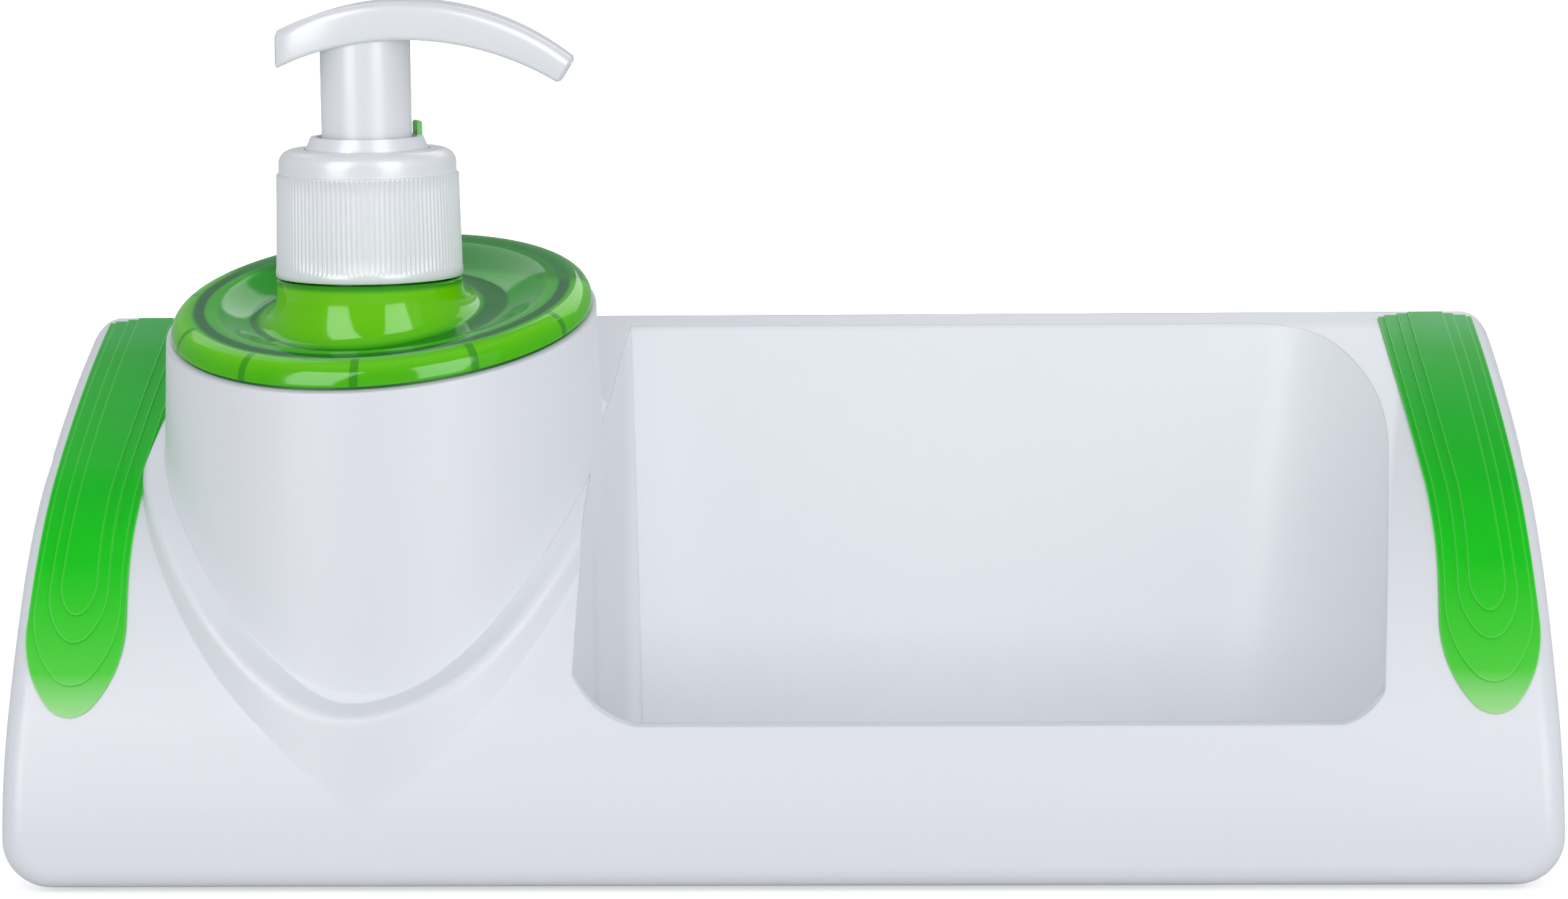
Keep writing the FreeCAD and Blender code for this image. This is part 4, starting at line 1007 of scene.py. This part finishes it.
@dataclass(frozen=True)
class CollarForm(Piece):
    """The screw collar's surface in millimetres, with fine upright ribs round its grip."""

    node: str = "pump_collar"
    body: str = "collar"
    crease: float = 50.0
    ribs: int = 112
    samples: int = 6
    depth: float = 0.26
    foot: float = 97.35
    top: float = 119.05
    edge: float = 0.15
    bead_radius: float = 16.0
    bead_height: float = 1.5
    bead_slope: float = 0.25
    grip_radius: float = 15.9
    grip_top_radius: float = 15.55
    grip_top: float = 114.95
    grip_edge: float = 0.12
    grip_rows: int = 8
    band_radius: float = 15.15
    shoulder: float = 2.4
    shoulder_rows: int = 10
    hole_radius: float = 10.7
    bore_radius: float = 14.1
    top_wall: float = 1.6
    run_out: float = 0.5

    def outside(self) -> list[tuple[float, float, float]]:
        """Lays the profile's outside: the bead, the tapered and ribbed grip, the band and the shoulder.

        Returns:
            Radius, height and depth of the ribs, from the foot up.
        """
        low, high = self.foot + self.bead_height, self.grip_top
        rows = [
            (self.bead_radius - self.edge, self.foot, 0.0), (self.bead_radius, self.foot + self.edge, 0.0),
            (self.bead_radius, low - self.bead_slope, 0.0), (self.grip_radius, low, 0.0),
        ]
        taper = self.grip_top_radius - self.grip_radius
        for height in np.linspace(low + self.run_out, high - self.run_out, self.grip_rows):
            share = (height - low) / (high - low)
            rows.append((self.grip_radius + share * taper, height, self.depth))
        rows += [
            (self.grip_top_radius, high - self.edge, 0.0),
            (self.grip_top_radius - self.grip_edge, high, 0.0), (self.band_radius, high, 0.0),
        ]
        centre = (self.band_radius - self.shoulder, self.top - self.shoulder)
        rounded = arc_points(centre, (self.shoulder, self.shoulder), 0.0, 90.0, self.shoulder_rows)
        return rows + [(radius, height, 0.0) for radius, height in rounded]

    def mesh(self) -> bpy.types.Mesh:
        """Turns the profile. A rib is half a cosine wave, which cuts into the grip by the ribs' depth.

        Returns:
            The mesh.
        """
        inside = [
            (self.hole_radius, self.top, 0.0), (self.hole_radius, self.top - self.top_wall, 0.0),
            (self.bore_radius, self.top - self.top_wall, 0.0), (self.bore_radius, self.foot, 0.0),
        ]
        radius, height, depth = zip(*(self.outside() + inside))
        turn = full_turn(self.ribs * self.samples)
        wave = 0.5 - 0.5 * np.cos(turn * self.ribs)
        rings = lathe(list(zip(radius, height)), turn, np.array(depth)[:, None] * wave)
        return mesh_from_grid("pump_collar_surface", rings)


@dataclass(frozen=True)
class HeadForm(Piece):
    """The pump head in millimetres: an arched lever, wider over its hollow sleeve, with a nozzle."""

    node: str = "pump_head"
    body: str = "head"
    stations: int = 80
    corner_steps: int = 9
    foot: float = 119.6
    tail: tuple[float, float, float] = (-14.8, 13.3, 19.6)
    nose_foot: tuple[float, float] = (33.2, 10.5)
    nose_top: tuple[float, float] = (35.7, 14.6)
    foot_radius: float = 49.6
    top_radius: float = 47.0
    tail_half: float = 5.2
    nose_half: float = 4.2
    swell: float = 3.4
    swell_lean: float = 0.63
    top_corner: float = 1.9
    foot_corner: float = 0.7
    end_inset: float = 0.9
    end_step: float = 0.008
    nozzle_radius: float = 1.4
    nozzle_depth: float = 9.0
    sleeve_columns: int = 96
    sleeve_radius: float = 7.7
    sleeve_edge: float = 0.25
    sleeve_bore: float = 6.4
    sleeve_top: float = 19.6
    ceiling: float = 13.4
    boss_radius: float = 4.4
    boss_foot: float = 6.4
    socket_radius: float = 2.75
    socket_top: float = 16.45

    @staticmethod
    def arc(start: np.ndarray, end: np.ndarray, radius: float, share: np.ndarray) -> np.ndarray:
        """Lays points over a circle's arc that bulges upward between two points.

        The centre lies below the chord's middle, by the root of the radius squared less the half chord
        squared.

        Args:
            start: the first point.
            end: the last point.
            radius: the circle's radius.
            share: the points' shares of the run in X.

        Returns:
            The points, shaped shares x 2.
        """
        chord = end - start
        length = math.hypot(*chord)
        side = np.array([chord[1], -chord[0]]) / length
        centre = (start + end) / 2 + side * math.sqrt(radius * radius - length * length / 4)
        x = start[0] + share * chord[0]
        return np.stack([x, centre[1] + np.sqrt(radius * radius - (x - centre[0]) ** 2)], axis=-1)

    @staticmethod
    def placed(foot: np.ndarray, up: np.ndarray, ring: np.ndarray) -> np.ndarray:
        """Puts a section's offsets on a foot point, with its own upward direction in the XZ plane."""
        return np.stack([foot[0] + up[0] * ring[:, 1], ring[:, 0], foot[1] + up[1] * ring[:, 1]], axis=-1)

    def section(self, half: float, tall: float) -> np.ndarray:
        """Lays one closed section: a box with two sizes of rounded corner.

        Args:
            half: the box's half width.
            tall: its height.

        Returns:
            The points' offsets aside and up, shaped points x 2.
        """
        corners = (
            (half - self.foot_corner, self.foot_corner, self.foot_corner, -90.0),
            (half - self.top_corner, tall - self.top_corner, self.top_corner, 0.0),
            (self.top_corner - half, tall - self.top_corner, self.top_corner, 90.0),
            (self.foot_corner - half, self.foot_corner, self.foot_corner, 180.0),
        )
        return np.concatenate([
            arc_points((aside, up), (radius, radius), start, start + 90.0, self.corner_steps)
            for aside, up, radius, start in corners
        ])

    def lever(self) -> np.ndarray:
        """Carries the section along two arcs, from the tail's end over the nose into the nozzle.

        The half width runs from the tail's to the nose's and swells by a leaning sine wave. The end sections
        are drawn in, and each end closes at a point.

        Returns:
            Points in metres, shaped rows x columns x 3.
        """
        share = np.concatenate([[0.0], np.linspace(self.end_step, 1.0 - self.end_step, self.stations), [1.0]])
        x, low, high = self.tail
        under = self.arc(np.array([x, low]), np.array(self.nose_foot), self.foot_radius, share)
        over = self.arc(np.array([x, high]), np.array(self.nose_top), self.top_radius, share)
        half = self.tail_half + share * (self.nose_half - self.tail_half)
        half = half + self.swell * np.sin(math.pi * share ** self.swell_lean)
        rows, last = [], len(share) - 1
        for index in range(len(share)):
            tall = math.hypot(*(over[index] - under[index]))
            up = (over[index] - under[index]) / tall
            ring = self.section(half[index], tall)
            middle = np.array([0.0, tall / 2])
            if index in (0, last):
                ring = middle + (ring - middle) * (1.0 - self.end_inset / tall)
            place = self.placed(under[index], up, ring)
            centre = self.placed(under[index], up, np.repeat(middle[None], len(ring), axis=0))
            rows += [centre, place] if index == 0 else [place]
        angle = np.arctan2(ring[:, 1] - middle[1], ring[:, 0])
        mouth = middle + self.nozzle_radius * np.stack([np.cos(angle), np.sin(angle)], axis=-1)
        mouth = self.placed(under[last], up, mouth)
        inward = np.array([-up[1], 0.0, up[0]]) * self.nozzle_depth
        rows += [mouth, mouth + inward, centre + inward]
        return (np.stack(rows) + np.array([PUMP_X, 0.0, self.foot])) * MM

    def sleeve(self) -> np.ndarray:
        """Turns the sleeve: down its outside, up its bore, over the boss and into the stem's socket.

        Returns:
            Points in metres, shaped rows x columns x 3.
        """
        profile = [
            (0.0, self.sleeve_top), (self.sleeve_radius, self.sleeve_top),
            (self.sleeve_radius, self.sleeve_edge), (self.sleeve_radius - self.sleeve_edge, 0.0),
            (self.sleeve_bore, 0.0), (self.sleeve_bore, self.ceiling),
            (self.boss_radius, self.ceiling), (self.boss_radius, self.boss_foot),
            (self.socket_radius, self.boss_foot), (self.socket_radius, self.socket_top),
            (0.0, self.socket_top),
        ]
        return lathe([(radius, self.foot + rise) for radius, rise in profile], full_turn(self.sleeve_columns))

    def mesh(self) -> bpy.types.Mesh:
        """Returns the lever and the sleeve as one mesh."""
        lever = mesh_from_grid("pump_head_lever", self.lever(), joined=False)
        sleeve = mesh_from_grid("pump_head_sleeve", self.sleeve(), joined=False)
        return join_meshes("pump_head_surface", [lever, sleeve])


@dataclass(frozen=True)
class Lamp:
    """One soft box that faces the object.

    Its direction is in degrees: the azimuth from the front, positive to the viewer's right, and the climb
    above the horizon. It hangs that many metres away, with a width and height in metres and a power in watts.
    """

    name: str
    azimuth: float
    climb: float
    away: float
    size: tuple[float, float]
    power: float
    lights: Lights = Lights.ALL

    def hang(self, target: Vector) -> None:
        """Hangs the lamp.

        Args:
            target: the point that it faces.
        """
        side, rise = math.radians(self.azimuth), math.radians(self.climb)
        sight = Vector((math.sin(side) * math.cos(rise), -math.cos(side) * math.cos(rise), math.sin(rise)))
        data = bpy.data.lights.new(self.name, "AREA")
        data.shape = "RECTANGLE"
        data.size, data.size_y = self.size
        data.energy = self.power
        lamp = bpy.data.objects.new(self.name, data)
        bpy.context.scene.collection.objects.link(lamp)
        lamp.location = target + sight * self.away
        lamp.rotation_euler = (-sight).to_track_quat("-Z", "Y").to_euler()
        lamp.visible_diffuse = self.lights is not Lights.GLOSS
        lamp.visible_glossy = self.lights is not Lights.MATT


LAMPS = (
    Lamp("left_box", -40.0, 24.0, 1.5, (0.8, 1.6), 1.6),
    Lamp("right_box", 52.0, 20.0, 1.5, (0.8, 1.6), 3.0),
    Lamp("top_box", 0.0, 82.0, 1.6, (1.6, 1.2), 1.6),
    Lamp("front_fill", 4.0, 5.0, 1.5, (0.9, 0.7), 8.2, Lights.MATT),
    Lamp("back_fill", 180.0, 24.0, 1.6, (1.4, 0.9), 5.5, Lights.MATT),
    Lamp("left_fill", -104.0, 18.0, 1.6, (0.9, 0.9), 2.6, Lights.MATT),
    Lamp("right_fill", 104.0, 18.0, 1.6, (0.9, 0.9), 2.6, Lights.MATT),
    Lamp("left_window", -35.0, 26.0, 1.6, (0.8, 1.7), 33.0, Lights.GLOSS),
    Lamp("right_window", 35.0, 26.0, 1.6, (0.8, 1.7), 33.0, Lights.GLOSS),
    Lamp("back_window", 214.0, 47.0, 1.5, (0.7, 0.8), 2.0, Lights.GLOSS),
    Lamp("side_window", 158.0, 37.0, 1.5, (1.1, 0.6), 3.5, Lights.GLOSS),
)


@dataclass(frozen=True)
class Studio:
    """The camera at the photograph's angle, the pale floor, the sky and the lamps. Lengths are metres."""

    image_width: float = 2539.0
    focal_pixels: float = 6945.4
    sensor: float = 36.0
    clip: tuple[float, float] = (0.01, 50.0)
    pitch: float = 0.149
    yaw: float = 0.024
    roll: float = -0.008
    eye: tuple[float, float, float] = (0.0176, -0.7296, 0.1763)
    lamp_target: tuple[float, float, float] = (0.0, 0.0, 0.08)
    floor_size: float = 12.0
    floor_shade: Colour = (0.78, 0.78, 0.78)
    floor_glow: float = 0.55
    far_glow: float = 0.5
    glow_behind: tuple[float, float] = (0.05, 0.9)
    glow_around: tuple[float, float] = (0.25, 1.0)
    sky: float = 0.5
    sky_shade: Colour = (0.93, 0.955, 1.0)
    white: Colour = (1.0, 1.0, 1.0)

    def camera(self) -> None:
        """Sets the camera, which looks down by the pitch, left by the yaw and is turned by the roll."""
        flat = math.cos(self.pitch)
        ahead = Vector((-math.sin(self.yaw) * flat, math.cos(self.yaw) * flat, -math.sin(self.pitch)))
        level = Vector((math.cos(self.yaw), math.sin(self.yaw), 0.0))
        upright = level.cross(ahead)
        right = math.cos(self.roll) * level + math.sin(self.roll) * upright
        up = -math.sin(self.roll) * level + math.cos(self.roll) * upright
        data = bpy.data.cameras.new("camera")
        data.sensor_fit = "HORIZONTAL"
        data.sensor_width = self.sensor
        data.lens = self.focal_pixels * self.sensor / self.image_width
        data.clip_start, data.clip_end = self.clip
        camera = bpy.data.objects.new("camera", data)
        bpy.context.scene.collection.objects.link(camera)
        turn = Matrix((right, up, -ahead)).transposed().to_4x4()
        camera.matrix_world = Matrix.Translation(self.eye) @ turn
        bpy.context.scene.camera = camera

    def floor(self) -> None:
        """Lays the pale floor, which keeps the object's shadow and looks white further off.

        The camera alone sees its glow, which grows behind the object and with the distance all round it.
        """
        half = self.floor_size / 2
        mesh = bpy.data.meshes.new("floor")
        corners = [(-half, -half, 0.0), (half, -half, 0.0), (half, half, 0.0), (-half, half, 0.0)]
        mesh.from_pydata(corners, [], [(0, 1, 2, 3)])
        floor = bpy.data.objects.new("floor", mesh)
        bpy.context.scene.collection.objects.link(floor)
        graph = Graph("floor_white")
        seen = graph.node("ShaderNodeLightPath", output="Is Camera Ray")
        across, ahead = graph.along("X"), graph.along("Y")
        around = (across * across + ahead * ahead).root().climb(*self.glow_around)
        strength = seen * ((ahead.climb(*self.glow_behind) + around) * self.far_glow + self.floor_glow)
        glow = graph.node("ShaderNodeEmission", None, {"Color": (*self.white, 1.0), "Strength": strength})
        matt = graph.node("ShaderNodeBsdfDiffuse", None, {"Color": (*self.floor_shade, 1.0)})
        mesh.materials.append(graph.finish(graph.node("ShaderNodeAddShader", None, {0: glow, 1: matt})))

    def world(self) -> None:
        """Lights the scene evenly from a pale sky that the camera sees as white."""
        world = bpy.data.worlds.new("studio_world")
        world.use_nodes = True
        graph = Graph.of_world(world)
        seen = graph.node("ShaderNodeLightPath", output="Is Camera Ray")
        pale = {"Color": (*self.sky_shade, 1.0), "Strength": self.sky}
        plain = graph.node("ShaderNodeBackground", None, pale)
        white = graph.node("ShaderNodeBackground", None, {"Color": (*self.white, 1.0), "Strength": 1.0})
        graph.finish(graph.node("ShaderNodeMixShader", None, {0: seen, 1: plain, 2: white}))
        bpy.context.scene.world = world

    def build(self) -> None:
        """Sets up the whole studio."""
        self.camera()
        self.floor()
        self.world()
        for lamp in LAMPS:
            lamp.hang(Vector(self.lamp_target))


def main() -> None:
    """Builds the scene in order."""
    logging.basicConfig(level=logging.INFO, format="%(message)s")
    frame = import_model()
    bpy.context.scene.view_settings.view_transform = "Standard"
    Studio().build()
    wardrobe = Wardrobe()
    nodes = frame["nodes"]
    for node, finish in DRESSED_NODES.items():
        wardrobe.dress(nodes[node], finish)
    pieces = (
        SmoothedNode("caddy_shell", "caddy", crease=14.0, source=nodes["caddy_shell"].data),
        EasedStrip("grip_strip_left", "caddy", source=nodes["grip_strip_left"].data),
        EasedStrip("grip_strip_right", "caddy", source=nodes["grip_strip_right"].data),
        LidForm(),
        CollarForm(),
        HeadForm(),
        SmoothedNode("guide_ring", "lid", source=nodes["guide_ring"].data),
    )
    for piece in pieces:
        piece.build(wardrobe)


if __name__ == "__main__":
    main()
